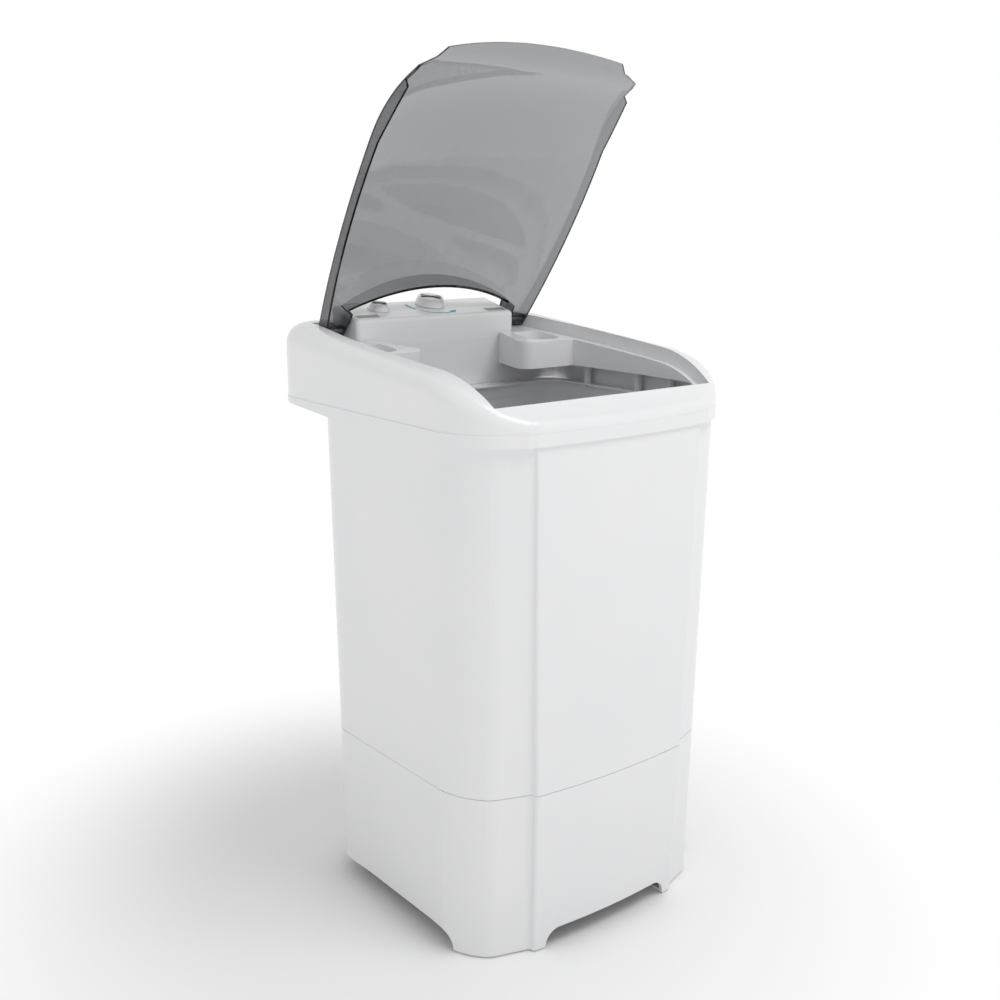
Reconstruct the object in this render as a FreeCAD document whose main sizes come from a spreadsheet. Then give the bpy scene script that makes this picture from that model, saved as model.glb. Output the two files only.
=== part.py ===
import FreeCAD, Part
import math
import os
import Sketcher

# Semi-automatic washing machine: a moulded tub on a motor base, a top frame with controls, and a smoked lid.
# Millimetres. +Z is up and the front faces -Y. The origin is on the floor, under the middle of the machine.
# A "setback" is a distance behind the front face of the top frame.

SIZES = {
    # Whole machine
    "overall_depth": 536.0,
    "split_height": 241.0,
    "cabinet_height": 720.0,
    "cabinet_depth": 420.0,
    "wall": 3.5,
    "seat_gap": 0.3,
    "fit_gap": 0.05,
    # Plan of the body at the floor, at the split line, at the cabinet's top and round the top frame
    "floor_half_width": 225.5,
    "floor_setback": 18.0,
    "floor_panel_half": 129.0,
    "floor_step_run": 11.0,
    "floor_step_depth": 10.0,
    "split_half_width": 227.5,
    "split_setback": 9.5,
    "split_panel_half": 132.0,
    "split_step_run": 12.0,
    "split_step_depth": 12.0,
    "top_half_width": 234.5,
    "top_setback": 2.0,
    "top_panel_half": 144.0,
    "top_step_run": 7.0,
    "top_step_depth": 6.0,
    "frame_half_width": 236.5,
    "frame_setback": 0.0,
    "frame_panel_half": 144.0,
    "frame_step_run": 15.2,
    "frame_step_depth": 3.0,
    "panel_bow": 8.0,
    "crease_half_width": 190.0,
    "crease_fall": 16.0,
    "crease_blend": 8.0,
    "front_corner_radius": 100.0,
    "rear_corner_radius": 60.0,
    # Feet and skirt of the base
    "pad_height": 3.0,
    "pad_inset": 2.0,
    "foot_height": 28.0,
    "foot_corner_radius": 24.0,
    "front_foot_reach": 115.0,
    "side_foot_reach": 80.0,
    "rear_foot_setback": 362.0,
    "rear_foot_half": 160.0,
    "parting_height": 1.2,
    "parting_depth": 1.5,
    "side_recess": 2.5,
    "side_recess_at_split": 0.4,
    "side_band_setback": 102.0,
    "side_band_run": 46.0,
    # Tub floor and the well that the pulsator turns in
    "floor_height": 262.0,
    "floor_thickness": 4.0,
    "well_radius": 172.0,
    "well_depth": 12.0,
    "hub_radius": 55.0,
    "hub_thickness": 12.0,
    "lip_thickness": 3.0,
    "lower_lip_gap": 1.0,
    "lower_lip_drop": 8.0,
    "upper_lip_hold": 20.0,
    # Top frame
    "frame_overlap": 2.0,
    "frame_wall": 4.0,
    "frame_skirt": 13.0,
    "collar_height": 17.0,
    "collar_proud": 1.0,
    "frame_rear_radius": 67.0,
    "overhang_rise": 12.0,
    "overhang_start_setback": 360.0,
    "rim_rear_height": 848.0,
    "rim_bend_height": 810.4,
    "rim_bend_setback": 144.5,
    "rim_bend_radius": 205.0,
    "rim_brow_height": 766.3,
    "rim_brow_setback": 36.0,
    "rim_nose_height": 748.0,
    "rim_nose_radius": 100.0,
    "rim_round": 28.0,
    "rim_front_round": 16.0,
    "rim_round_setback": 122.0,
    "rim_solid": 24.0,
    # Loading mouth
    "ledge_drop": 20.0,
    "ledge_thickness": 3.5,
    "mouth_front_setback": 40.0,
    "mouth_rear_setback": 430.0,
    "mouth_half_front": 183.0,
    "mouth_half_width": 190.0,
    "mouth_side_radius": 1500.0,
    "mouth_wall_height": 767.0,
    "shelf_setback": 330.0,
    "shelf_half_gap": 93.0,
    "shelf_rear_half_gap": 118.0,
    "shelf_round": 22.0,
    "tray_margin": 16.0,
    "tray_depth": 22.0,
    "tray_wall": 3.0,
    "tray_round": 18.0,
    # Lid
    "lid_open_angle": 62.5,
    "hinge_setback": 459.5,
    "hinge_height": 832.0,
    "lid_gap": 2.0,
    "lid_wall": 3.0,
    "lid_crown": 38.0,
    "lid_half_width": 206.0,
    "lid_skirt": 16.0,
    "skirt_start_setback": 52.0,
    "skirt_start_height": 780.0,
    "skirt_heel_setback": 58.0,
    "skirt_heel_height": 772.0,
    "lid_rear_half": 188.0,
    "lid_arm_inner": 157.0,
    "lid_arm_tail": 7.0,
    "lid_side_radius": 1398.0,
    "lid_shoulder_setback": 26.4,
    "lid_notch_half": 162.0,
    "lid_notch_setback": 14.0,
    "lip_half_width": 150.0,
    "lip_radius": 1328.0,
    "lip_reach": 19.0,
    "lip_drop": 5.2,
    "arch_half_width": 152.0,
    "arch_setback": 430.0,
    "arch_radius": 343.0,
    "arch_skirt_height": 836.0,
    "seat_tail": 31.0,
    "pin_radius": 4.0,
    "pin_hold": 18.0,
    "lug_radius": 8.5,
    # Control console
    "console_half_width": 148.0,
    "console_depth": 79.0,
    "console_front_height": 849.0,
    "console_rear_height": 868.8,
    "console_wall": 3.0,
    "console_drop": 28.0,
    "console_round": 7.0,
    "hollow_length": 40.0,
    "hollow_width": 15.0,
    "hollow_depth": 1.5,
    "timer_offset": 19.0,
    "timer_setback": 482.0,
    "timer_width": 46.0,
    "timer_depth": 33.0,
    "timer_height": 26.0,
    "selector_offset": 84.0,
    "selector_setback": 471.0,
    "selector_width": 32.0,
    "selector_depth": 34.0,
    "selector_height": 20.0,
    "module_screw_inset": 7.0,
    "control_shaft_radius": 3.0,
    "control_shaft_rise": 9.0,
    "timer_knob_radius": 21.5,
    "timer_knob_height": 13.0,
    "timer_skirt_radius": 24.0,
    "selector_knob_radius": 15.0,
    "selector_knob_height": 10.5,
    "selector_skirt_radius": 17.0,
    "knob_skirt_height": 3.0,
    # Drive
    "drive_setback": 214.0,
    "shaft_radius": 8.0,
    "shaft_top_height": 282.0,
    "shoulder_step": 3.0,
    "bush_wall": 4.0,
    "bush_height": 15.0,
    "housing_radius": 22.0,
    "housing_flange_radius": 45.0,
    "housing_flange_height": 8.0,
    "housing_length": 88.0,
    "housing_spigot_rise": 8.0,
    "housing_spigot_radius": 20.0,
    "seal_wall": 5.0,
    "seal_height": 6.0,
    "pulsator_radius": 164.0,
    "pulsator_gap": 5.0,
    "pulsator_plate": 4.0,
    "pulsator_hub_radius": 26.0,
    "pulsator_hub_height": 32.0,
    "vane_height": 20.0,
    "vane_width": 12.0,
    "vane_count": 6.0,
    "pulley_middle_height": 118.0,
    "pulley_width": 20.0,
    "pulley_web": 6.0,
    "pulley_hub_radius": 18.0,
    "driven_pulley_radius": 68.0,
    "motor_pulley_radius": 20.0,
    "groove_depth": 7.0,
    "belt_width": 9.0,
    "belt_thickness": 6.0,
    "belt_gap": 0.3,
    # Motor
    "motor_distance": 115.0,
    "motor_radius": 50.0,
    "motor_height": 88.0,
    "motor_wall": 4.0,
    "motor_flange_radius": 62.0,
    "motor_flange_height": 5.0,
    "motor_bolt_circle": 56.0,
    "end_shield_height": 6.0,
    "stator_bore": 33.0,
    "stator_height": 50.0,
    "rotor_gap": 0.6,
    "rotor_shaft_radius": 6.0,
    "bracket_thickness": 4.0,
    "bracket_half_width": 68.0,
    "bracket_wing": 132.0,
    "bracket_drop": 18.0,
    "bracket_screw_x": 58.0,
    "bracket_screw_near": 70.0,
    "bracket_screw_far": 155.0,
    "boss_radius": 9.0,
    "capacitor_radius": 20.0,
    "capacitor_height": 70.0,
    "capacitor_offset": 104.0,
    # Outlets and fasteners
    "drain_offset": 115.0,
    "drain_behind": 100.0,
    "drain_radius": 16.0,
    "drain_wall": 2.5,
    "drain_drop": 30.0,
    "drain_bend": 32.0,
    "drain_stub": 26.0,
    "gland_offset": 120.0,
    "gland_height": 190.0,
    "gland_radius": 8.0,
    "gland_flange": 3.5,
    "screw_radius": 2.0,
    "screw_head_radius": 4.0,
    "screw_head_height": 2.6,
    "screw_length": 14.0,
    "sunk_head_height": 1.8,
    "bolt_radius": 2.5,
    "nut_radius": 5.0,
    "nut_height": 4.0,
    "base_screw_offset": 145.0,
    "ring_thickness": 3.0,
    "ring_width": 20.0,
    "ring_screw_inset": 12.0,
    "ring_boss_radius": 6.0,
    "cover_thickness": 3.0,
    "cover_front_setback": 442.0,
    "cover_rear_setback": 529.0,
    "cover_screw_offset": 118.0,
    "wire_hole_radius": 8.0,
}

MARGIN = 60.0
ALONG_X = FreeCAD.Rotation(FreeCAD.Vector(0, 1, 0), 90)
ALONG_Y = FreeCAD.Rotation(FreeCAD.Vector(1, 0, 0), -90)
UPSIDE_DOWN = FreeCAD.Rotation(FreeCAD.Vector(1, 0, 0), 180)

document = FreeCAD.newDocument("washing_machine")
sheet = document.addObject("Spreadsheet::Sheet", "Sizes")
for row, (alias, value) in enumerate(SIZES.items(), 1):
    sheet.set("A%d" % row, alias)
    sheet.set("B%d" % row, str(value))
    sheet.setAlias("B%d" % row, alias)
document.recompute()


class Size:
    """A number that carries its sheet formula, so that the code and the bound sizes agree."""

    def __init__(self, value, text):
        self.value = float(value)
        self.text = text

    def __add__(self, other):
        return Size(self.value + number(other), "(%s + %s)" % (self.text, formula(other)))

    def __radd__(self, other):
        return self + other

    def __sub__(self, other):
        return Size(self.value - number(other), "(%s - %s)" % (self.text, formula(other)))

    def __rsub__(self, other):
        return Size(number(other) - self.value, "(%s - %s)" % (formula(other), self.text))

    def __mul__(self, other):
        return Size(self.value * number(other), "(%s * %s)" % (self.text, formula(other)))

    def __rmul__(self, other):
        return self * other

    def __truediv__(self, other):
        return Size(self.value / number(other), "(%s / %s)" % (self.text, formula(other)))

    def __neg__(self):
        return 0 - self

    def root(self):
        return Size(math.sqrt(self.value), "sqrt(%s)" % self.text)


def number(size):
    return size.value if isinstance(size, Size) else float(size)


def formula(size):
    return size.text if isinstance(size, Size) else repr(float(size))


class SizeNames:
    """Each alias of the sheet as an attribute."""

    def __getattr__(self, alias):
        return Size(sheet.get(alias), "Sizes." + alias)


s = SizeNames()
front = -s.overall_depth / 2
rear = s.overall_depth / 2


# Helpers that draw and shape

def bind(piece, name, size):
    piece.setExpression(name, formula(size))


def place(piece, x=0, y=0, z=0, turn=None):
    if turn is not None:
        piece.Placement = FreeCAD.Placement(FreeCAD.Vector(), turn)
    bind(piece, "Placement.Base.x", x)
    bind(piece, "Placement.Base.y", y)
    bind(piece, "Placement.Base.z", z)
    return piece


def add_side(sketch, corner, after):
    """Line or arc from a corner to the next, and the numbers of its first and last end."""
    start = FreeCAD.Vector(number(corner[0]), number(corner[1]), 0)
    stop = FreeCAD.Vector(number(after[0]), number(after[1]), 0)
    if len(corner) == 2:
        return sketch.addGeometry(Part.LineSegment(start, stop)), 1, 2
    bend = number(corner[2])
    if bend < 0:
        start, stop = stop, start
    half = (stop - start) / 2
    inward = FreeCAD.Vector(-half.y, half.x, 0).normalize()
    centre = start + half + inward * math.sqrt(bend * bend - half.Length ** 2)
    circle = Part.Circle(centre, FreeCAD.Vector(0, 0, 1), abs(bend))
    first = math.atan2(start.y - centre.y, start.x - centre.x)
    last = math.atan2(stop.y - centre.y, stop.x - centre.x)
    if last < first:
        last += 2 * math.pi
    side = sketch.addGeometry(Part.ArcOfCircle(circle, first, last))
    held = sketch.addConstraint(Sketcher.Constraint("Radius", side, abs(bend)))
    bind(sketch, "Constraints[%d]" % held, corner[2] if bend > 0 else 0 - corner[2])
    return (side, 1, 2) if bend > 0 else (side, 2, 1)


def hold_end(sketch, side, end, corner):
    """Holds an end of a side at its corner."""
    for kind, size, axis in (("DistanceX", corner[0], -2), ("DistanceY", corner[1], -1)):
        if not isinstance(size, Size) and size == 0:
            sketch.addConstraint(Sketcher.Constraint("PointOnObject", side, end, axis))
            continue
        held = sketch.addConstraint(Sketcher.Constraint(kind, -1, 1, side, end, number(size)))
        bind(sketch, "Constraints[%d]" % held, size)


def draw_sides(sketch, corners):
    """Sides through (u, v) or (u, v, radius) corners; gives the first and last end of the whole line.

    A radius bends the side that follows its corner: outwards if it is positive, inwards if it is negative."""
    head = None
    tail = None
    for corner, after in zip(corners[:-1], corners[1:]):
        side, begin, finish = add_side(sketch, corner, after)
        if tail is not None:
            sketch.addConstraint(Sketcher.Constraint("Coincident", *tail, side, begin))
        hold_end(sketch, side, begin, corner)
        head = head or (side, begin)
        tail = (side, finish)
    return head, tail


def draw_open(sketch, corners):
    head, tail = draw_sides(sketch, corners)
    hold_end(sketch, *tail, corners[-1])


def draw_closed(sketch, corners):
    """Closed outline, counter-clockwise: a positive radius bends a side outwards."""
    head, tail = draw_sides(sketch, corners + corners[:1])
    sketch.addConstraint(Sketcher.Constraint("Coincident", *tail, *head))


def sketch_on(body, plane, corners, offset=0):
    """Outline on one of a body's own planes, moved along the plane's normal."""
    sketch = body.newObject("Sketcher::SketchObject", body.Name + "_outline")
    origin = [feature for feature in body.Origin.OriginFeatures if feature.Role == plane][0]
    sketch.AttachmentSupport = (origin, [""])
    sketch.MapMode = "FlatFace"
    bind(sketch, "AttachmentOffset.Base.z", offset)
    draw_closed(sketch, corners)
    return sketch


def prism(name, plane, corners, start, length):
    """Outline padded along its plane's normal."""
    body = document.addObject("PartDesign::Body", name)
    pad = body.newObject("PartDesign::Pad", name + "_pad")
    pad.Profile = sketch_on(body, plane, corners, start)
    bind(pad, "Length", length)
    return body


def loft(name, lower, low, upper, high):
    """Straight-walled body between two outlines at two heights."""
    body = document.addObject("PartDesign::Body", name)
    first = sketch_on(body, "XY_Plane", lower, low)
    second = sketch_on(body, "XY_Plane", upper, high)
    feature = body.newObject("PartDesign::AdditiveLoft", name + "_loft")
    feature.Profile = first
    feature.Sections = [second]
    feature.Ruled = True
    return body


def turned(name, corners):
    """Outline of (radius, height) corners turned about Z."""
    body = document.addObject("PartDesign::Body", name)
    sketch = sketch_on(body, "XZ_Plane", corners)
    feature = body.newObject("PartDesign::Revolution", name + "_turn")
    feature.Profile = sketch
    feature.ReferenceAxis = (sketch, ["V_Axis"])
    feature.Angle = 360
    return body


def rod(name, radius, length):
    cylinder = document.addObject("Part::Cylinder", name)
    bind(cylinder, "Radius", radius)
    bind(cylinder, "Height", length)
    return cylinder


def block(name, length, width, height):
    box = document.addObject("Part::Box", name)
    bind(box, "Length", length)
    bind(box, "Width", width)
    bind(box, "Height", height)
    return box


def join(name, *pieces):
    fusion = document.addObject("Part::MultiFuse", name)
    fusion.Shapes = list(pieces)
    return fusion


def cut(name, base, *tools):
    """Takes the tools out of a piece, one after another."""
    result = base
    for tool in tools:
        step = document.addObject("Part::Cut", name if tool is tools[-1] else name + "_step")
        step.Base = result
        step.Tool = tool
        result = step
    return result


def overlap(name, first, second):
    result = document.addObject("Part::Common", name)
    result.Base = first
    result.Tool = second
    return result


def group(name, pieces):
    """Separate solids kept together under one name."""
    result = document.addObject("Part::Compound", name)
    result.Links = list(pieces)
    return result


def round_edges(name, base, wanted, radius_at):
    """Rounds every edge that the test picks, with the radius asked for at each of its ends."""
    document.recompute()
    picked = []
    for index, edge in enumerate(base.Shape.Edges, 1):
        if wanted(edge):
            first = edge.valueAt(edge.FirstParameter)
            last = edge.valueAt(edge.LastParameter)
            if edge.Orientation == "Reversed":
                first, last = last, first
            picked.append((index, radius_at(first), radius_at(last)))
    result = document.addObject("Part::Fillet", name)
    result.Base = base
    result.Edges = picked
    return result


def mirrored(points):
    """Right-hand outline points followed by their left-hand mirror, for a counter-clockwise outline."""
    left = []
    for index in range(len(points) - 1, -1, -1):
        bend = points[index - 1][2:] if index > 0 else ()
        left.append((-points[index][0], points[index][1]) + tuple(bend))
    return list(points) + left


# Outlines of the body in plan

CREASE_SHARE = 0.6
STEP_SHARE = 0.3


def plan(level, inset=0, depth_back=None, rear_corner=None):
    """Body outline at a level: bowed front panel, stepped corner strips, round corners."""
    half_width = getattr(s, level + "_half_width") - inset
    panel_half = getattr(s, level + "_panel_half")
    run = getattr(s, level + "_step_run")
    depth = getattr(s, level + "_step_depth")
    panel_edge = front + getattr(s, level + "_setback") + s.panel_bow + inset
    bow = (panel_half * panel_half + s.panel_bow * s.panel_bow) / (s.panel_bow * 2)
    step = (run * run + depth * depth) / (depth * 4)
    corner = s.front_corner_radius - inset
    crease_x = s.crease_half_width - CREASE_SHARE * inset
    crease_y = panel_edge + depth + s.crease_fall
    reach = corner - (half_width - crease_x)
    tangent_y = crease_y + (corner * corner - reach * reach).root()
    back = front + (depth_back or s.cabinet_depth) - inset
    rear_radius = (rear_corner or s.rear_corner_radius) - inset
    strip_x = panel_half + run - STEP_SHARE * inset
    slope = s.crease_fall / (crease_x - strip_x)
    past_crease = reach + s.crease_blend
    rise_before = s.crease_blend * slope
    rise_after = tangent_y - crease_y - (corner * corner - past_crease * past_crease).root()
    off_strip = (rise_after - rise_before) / (1 + slope * slope).root()
    chord_x = s.crease_blend * 2
    chord_y = rise_before + rise_after
    blend = (chord_x * chord_x + chord_y * chord_y) / (off_strip * 2)
    right = [
        (panel_half, panel_edge, step),
        ((panel_half + strip_x) / 2, panel_edge + depth / 2, -step),
        (strip_x, panel_edge + depth),
        (crease_x - s.crease_blend, crease_y - rise_before, blend),
        (crease_x + s.crease_blend, crease_y + rise_after, corner),
        (half_width, tangent_y),
        (half_width, back - rear_radius, rear_radius),
        (half_width - rear_radius, back),
    ]
    outline = mirrored(right)
    outline[-1] = outline[-1][:2] + (bow,)
    return outline


def frame_plan(outset=0):
    """Outline of the top frame, from its bowed front to the rear overhang."""
    return plan("frame", -outset, s.overall_depth, s.frame_rear_radius)


def frame_inside():
    """Inner face of the frame's outer wall, which follows the corner strips."""
    return plan("top", s.frame_wall - s.frame_overlap, s.overall_depth - s.frame_overlap, s.frame_rear_radius)


def rim_line(drop):
    """Side view of the rim, from the nose at the front to the rear, lowered by drop."""
    nose = (front, s.rim_nose_height - drop)
    brow = (front + s.rim_brow_setback, s.rim_brow_height - drop)
    bend = (front + s.rim_bend_setback, s.rim_bend_height - drop)
    tail = (rear, s.rim_rear_height - drop)
    return nose, brow, bend, tail


def rim_height(setback, drop=0):
    """Height of the straight rear part of the rim at a setback."""
    slope = (s.rim_rear_height - s.rim_bend_height) / (s.overall_depth - s.rim_bend_setback)
    return s.rim_bend_height + slope * (setback - s.rim_bend_setback) - drop


def below_rim(name, drop, floor_z):
    """Everything under the rim line, right across the machine."""
    nose, brow, bend, tail = rim_line(drop)
    corners = [
        (front - MARGIN, floor_z),
        (rear + MARGIN, floor_z),
        (rear + MARGIN, tail[1]),
        tail,
        bend + (s.rim_bend_radius,),
        brow + (-s.rim_nose_radius,),
        nose,
        (front - MARGIN, nose[1]),
    ]
    return prism(name, "YZ_Plane", corners, -s.overall_depth, s.overall_depth * 2)


def above_rim(name, drop):
    """Everything over the rim line, right across the machine."""
    nose, brow, bend, tail = rim_line(drop)
    top = s.rim_rear_height + MARGIN
    corners = [
        (front - MARGIN, nose[1]),
        nose + (s.rim_nose_radius,),
        brow + (-s.rim_bend_radius,),
        bend,
        tail,
        (rear + MARGIN, tail[1]),
        (rear + MARGIN, top),
        (front - MARGIN, top),
    ]
    return prism(name, "YZ_Plane", corners, -s.overall_depth, s.overall_depth * 2)


# Base housing on its pads

def base_housing():
    wall_top = s.split_height - s.parting_height
    outer = loft("base_outer", plan("floor"), s.pad_height, plan("split"), wall_top)
    lower_wall = s.wall + s.side_recess
    inner = loft("base_inner", plan("floor", lower_wall), hollow_start(), plan("split", s.wall), wall_top)
    band_low = wall_top - s.wall
    band = ring_band("parting_band", "split", s.parting_depth, s.wall, band_low, s.split_height - band_low)
    body = join("base_body", cut("base_shell", outer, inner), band)
    first = front + s.floor_setback + s.side_foot_reach
    last = front + s.rear_foot_setback
    tools = [
        arch_between_feet("base_front_arch", "XZ_Plane", -s.front_foot_reach, s.front_foot_reach),
        arch_between_feet("base_side_arch", "YZ_Plane", first, last),
        hole_through_back("base_drain_hole", -s.drain_offset, drain_height(), s.drain_radius + s.seat_gap),
        hole_through_back("base_gland_hole", s.gland_offset, s.gland_height, s.gland_radius + s.seat_gap),
    ]
    for side in (-1, 1):
        tools.append(rear_corner_clearance(side))
        tools.append(side_panel_recess(side))
    for x in base_screw_places():
        tools.append(hole_through_back("base_screw_hole", x, base_screw_height(), s.screw_radius + s.fit_gap))
    carved = cut("base_carved", body, *tools)
    return join("base_with_feet", carved, rear_foot(-1), rear_foot(1))


def hollow_start():
    return s.pad_height + s.wall


def back_wall_at(z):
    """Thickness of the base's back wall, which grows a little towards the floor."""
    return s.wall + s.side_recess * (s.split_height - z) / (s.split_height - hollow_start())


def rear_corner_clearance(side):
    """Cutter that keeps the rear corners clear of the floor, beside the rear feet."""
    tool = block("base_rear_clearance", MARGIN * 2, s.overall_depth, s.foot_height + MARGIN)
    x = s.rear_foot_half if side > 0 else -s.rear_foot_half - MARGIN * 2
    return place(tool, x, front + s.cabinet_depth / 2, -MARGIN)


def rear_foot(side):
    """Boxed foot inside the back wall, open at its top."""
    length = s.rear_foot_half - s.front_foot_reach
    width = s.cabinet_depth - s.rear_foot_setback - s.wall
    height = s.foot_height + s.wall * 2 - s.pad_height
    x = s.front_foot_reach if side > 0 else -s.rear_foot_half
    y = front + s.rear_foot_setback
    box = place(block("rear_foot_box", length, width, height), x, y, s.pad_height)
    hollow = block("rear_foot_hollow", length - s.wall * 2, width - s.wall * 2, height)
    place(hollow, x + s.wall, y + s.wall, hollow_start())
    return cut("rear_foot", box, hollow)


def arch_between_feet(name, plane, first, last):
    """Opening under the skirt between two feet, round where it meets them."""
    low = s.pad_height - MARGIN
    corner = s.foot_corner_radius
    corners = [
        (first, low),
        (last, low),
        (last, s.foot_height - corner, corner),
        (last - corner, s.foot_height),
        (first + corner, s.foot_height, corner),
        (first, s.foot_height - corner),
    ]
    return prism(name, plane, corners, -s.overall_depth, s.overall_depth * 2)


def side_panel_recess(side):
    """Shallow hollow along a side wall, deeper towards the floor, which leaves the corner posts proud."""
    near = front + s.side_band_setback
    far = front + s.cabinet_depth - s.rear_corner_radius

    def outline(half_width, depth):
        right = [
            (half_width + MARGIN, near),
            (half_width + MARGIN, far),
            (half_width, far),
            (half_width - depth, far - s.side_band_run),
            (half_width - depth, near + s.side_band_run),
            (half_width, near),
        ]
        return right if side > 0 else [(-x, y) for x, y in reversed(right)]

    lower = outline(s.floor_half_width, s.side_recess)
    upper = outline(s.split_half_width, s.side_recess_at_split)
    return loft("base_side_recess", lower, s.pad_height, upper, s.split_height)


def hole_through_back(name, x, z, radius):
    """Cutter along Y through the back wall of the base and the lip behind it."""
    tool = rod(name, radius, MARGIN)
    return place(tool, x, front + s.cabinet_depth - MARGIN / 2, z, ALONG_Y)


def base_screw_places():
    return (-s.base_screw_offset, 0, s.base_screw_offset)


def base_screw_height():
    return s.split_height - s.lower_lip_drop / 2


def base_screws():
    screws = []
    for x in base_screw_places():
        screw = screw_shape("base_screw", s.wall + s.lower_lip_gap + s.lip_thickness)
        screws.append(place(screw, x, front + s.cabinet_depth, base_screw_height(), ALONG_Y))
    return group("base_screws", screws)


def foot_pads():
    """Front pads that follow the base's corners, and plain rectangular rear pads."""
    sole = prism("pad_sole", "XY_Plane", plan("floor", s.pad_inset), 0, s.pad_height)
    x = s.front_foot_reach + s.pad_inset
    front_end = front + s.floor_setback + s.side_foot_reach - s.pad_inset
    length = s.rear_foot_half - s.front_foot_reach - s.pad_inset * 2
    width = s.cabinet_depth - s.rear_foot_setback - s.pad_inset * 2
    pads = []
    for side in (-1, 1):
        corner = block("pad_corner", s.top_half_width, s.overall_depth, s.pad_height)
        place(corner, x if side > 0 else -x - s.top_half_width, front_end - s.overall_depth)
        pads.append(overlap("front_pad", sole, corner))
        rear_pad = block("rear_pad", length, width, s.pad_height)
        place(rear_pad, x if side > 0 else -x - length, front + s.rear_foot_setback + s.pad_inset)
        pads.append(rear_pad)
    return group("foot_pads", pads)


# Tub cabinet

def cabinet_top():
    return s.cabinet_height + s.frame_skirt


def well_floor():
    return s.floor_height - s.well_depth


def hub_underside():
    return well_floor() - s.hub_thickness


def ring_band(name, level, outer_inset, inner_inset, low, height):
    outer = prism(name + "_outer", "XY_Plane", plan(level, outer_inset), low, height)
    inner = prism(name + "_inner", "XY_Plane", plan(level, inner_inset), low, height)
    return cut(name, outer, inner)


def drive_y():
    return front + s.drive_setback


def motor_y():
    return drive_y() + s.motor_distance


def drain_y():
    return drive_y() + s.drain_behind


def bracket_top():
    return well_floor() - s.floor_thickness - s.bracket_drop


def bracket_screw_places():
    for x in (-s.bracket_screw_x, s.bracket_screw_x):
        for behind in (s.bracket_screw_near, s.bracket_screw_far):
            yield x, drive_y() + behind


def housing_screw_places():
    circle = (s.housing_flange_radius + s.housing_radius) / 2
    for x, y in ((1, 0), (0, 1), (-1, 0), (0, -1)):
        yield circle * x, drive_y() + circle * y


def tub_cabinet():
    outer = loft("cabinet_outer", plan("split"), s.split_height, plan("top"), cabinet_top())
    floor_bottom = s.floor_height - s.floor_thickness
    inner = loft("cabinet_inner", plan("split", s.wall), s.floor_height, plan("top", s.wall), cabinet_top())
    under_height = floor_bottom - s.split_height
    under = prism("cabinet_under", "XY_Plane", plan("split", s.wall), s.split_height, under_height)
    opening = rod("well_opening", s.well_radius, s.floor_thickness * 3)
    place(opening, 0, drive_y(), floor_bottom - s.floor_thickness)
    shell = cut("cabinet_shell", outer, inner, under, opening)
    lip_inset = s.wall + s.lower_lip_gap
    lip_low = s.split_height - s.lower_lip_drop
    lip_height = floor_bottom - lip_low
    lower_lip = ring_band("lower_lip", "split", lip_inset, lip_inset + s.lip_thickness, lip_low, lip_height)
    lip_bottom = cabinet_top() - s.upper_lip_hold
    lip_inside = s.wall + s.lip_thickness
    upper_lip = ring_band("upper_lip", "top", s.wall / 2, lip_inside, lip_bottom, s.upper_lip_hold)
    well = turned("well", well_outline())
    place(well, 0, drive_y(), 0)
    bosses = []
    for x, y in bracket_screw_places():
        boss = rod("bracket_boss", s.boss_radius, s.bracket_drop + s.floor_thickness / 2)
        bosses.append(place(boss, x, y, bracket_top()))
    body = join("cabinet_body", shell, lower_lip, upper_lip, well, *bosses)
    drain = rod("drain_hole", s.drain_radius - s.drain_wall, s.floor_thickness * 3)
    holes = [place(drain, -s.drain_offset, drain_y(), well_floor() - s.floor_thickness * 2)]
    for x, y in bracket_screw_places():
        hole = rod("bracket_screw_hole", s.screw_radius + s.fit_gap, s.bracket_drop)
        holes.append(place(hole, x, y, bracket_top()))
    for x, y in housing_screw_places():
        hole = rod("housing_screw_hole", s.screw_radius + s.fit_gap, s.hub_thickness - s.lip_thickness)
        holes.append(place(hole, x, y, hub_underside()))
    for x in base_screw_places():
        holes.append(hole_through_back("lip_screw_hole", x, base_screw_height(), s.screw_radius + s.fit_gap))
    return cut("tub_cabinet", body, *holes)


def well_outline():
    """Cup under the pulsator, thicker at its hub, with the bore for the bearing housing."""
    bore = s.housing_spigot_radius + s.seat_gap
    rim = s.well_radius + s.wall
    bottom = well_floor() - s.floor_thickness
    return [
        (bore, hub_underside()),
        (s.hub_radius, hub_underside()),
        (s.hub_radius, bottom),
        (rim, bottom),
        (rim, s.floor_height),
        (s.well_radius, s.floor_height),
        (s.well_radius, well_floor()),
        (bore, well_floor()),
    ]


# Top frame

def mouth_plan(outset=0, back_outset=0):
    """Loading mouth, with the two tray shelves filling its rear corners."""
    half_front = s.mouth_half_front + outset
    half_width = s.mouth_half_width + outset
    front_y = front + s.mouth_front_setback - outset
    shelf_y = front + s.shelf_setback + back_outset
    back_y = front + s.mouth_rear_setback + back_outset
    gap = s.shelf_half_gap + outset
    rear_gap = s.shelf_rear_half_gap + outset
    right = [
        (half_front, front_y, s.mouth_side_radius),
        (half_width, shelf_y),
        (gap + s.shelf_round, shelf_y, -s.shelf_round),
        (gap, shelf_y + s.shelf_round),
        (rear_gap, back_y),
    ]
    return mirrored(right)


def lid_half(setback, outset):
    """Half width of the closed lid's bowed side at a setback, moved out by outset."""
    middle = (s.lid_shoulder_setback + s.hinge_setback + s.lid_arm_tail) / 2
    half_length = middle - s.lid_shoulder_setback
    radius = s.lid_side_radius + outset
    along = setback - middle
    centre = s.lid_rear_half - (s.lid_side_radius * s.lid_side_radius - half_length * half_length).root()
    return centre + (radius * radius - along * along).root()


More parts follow.
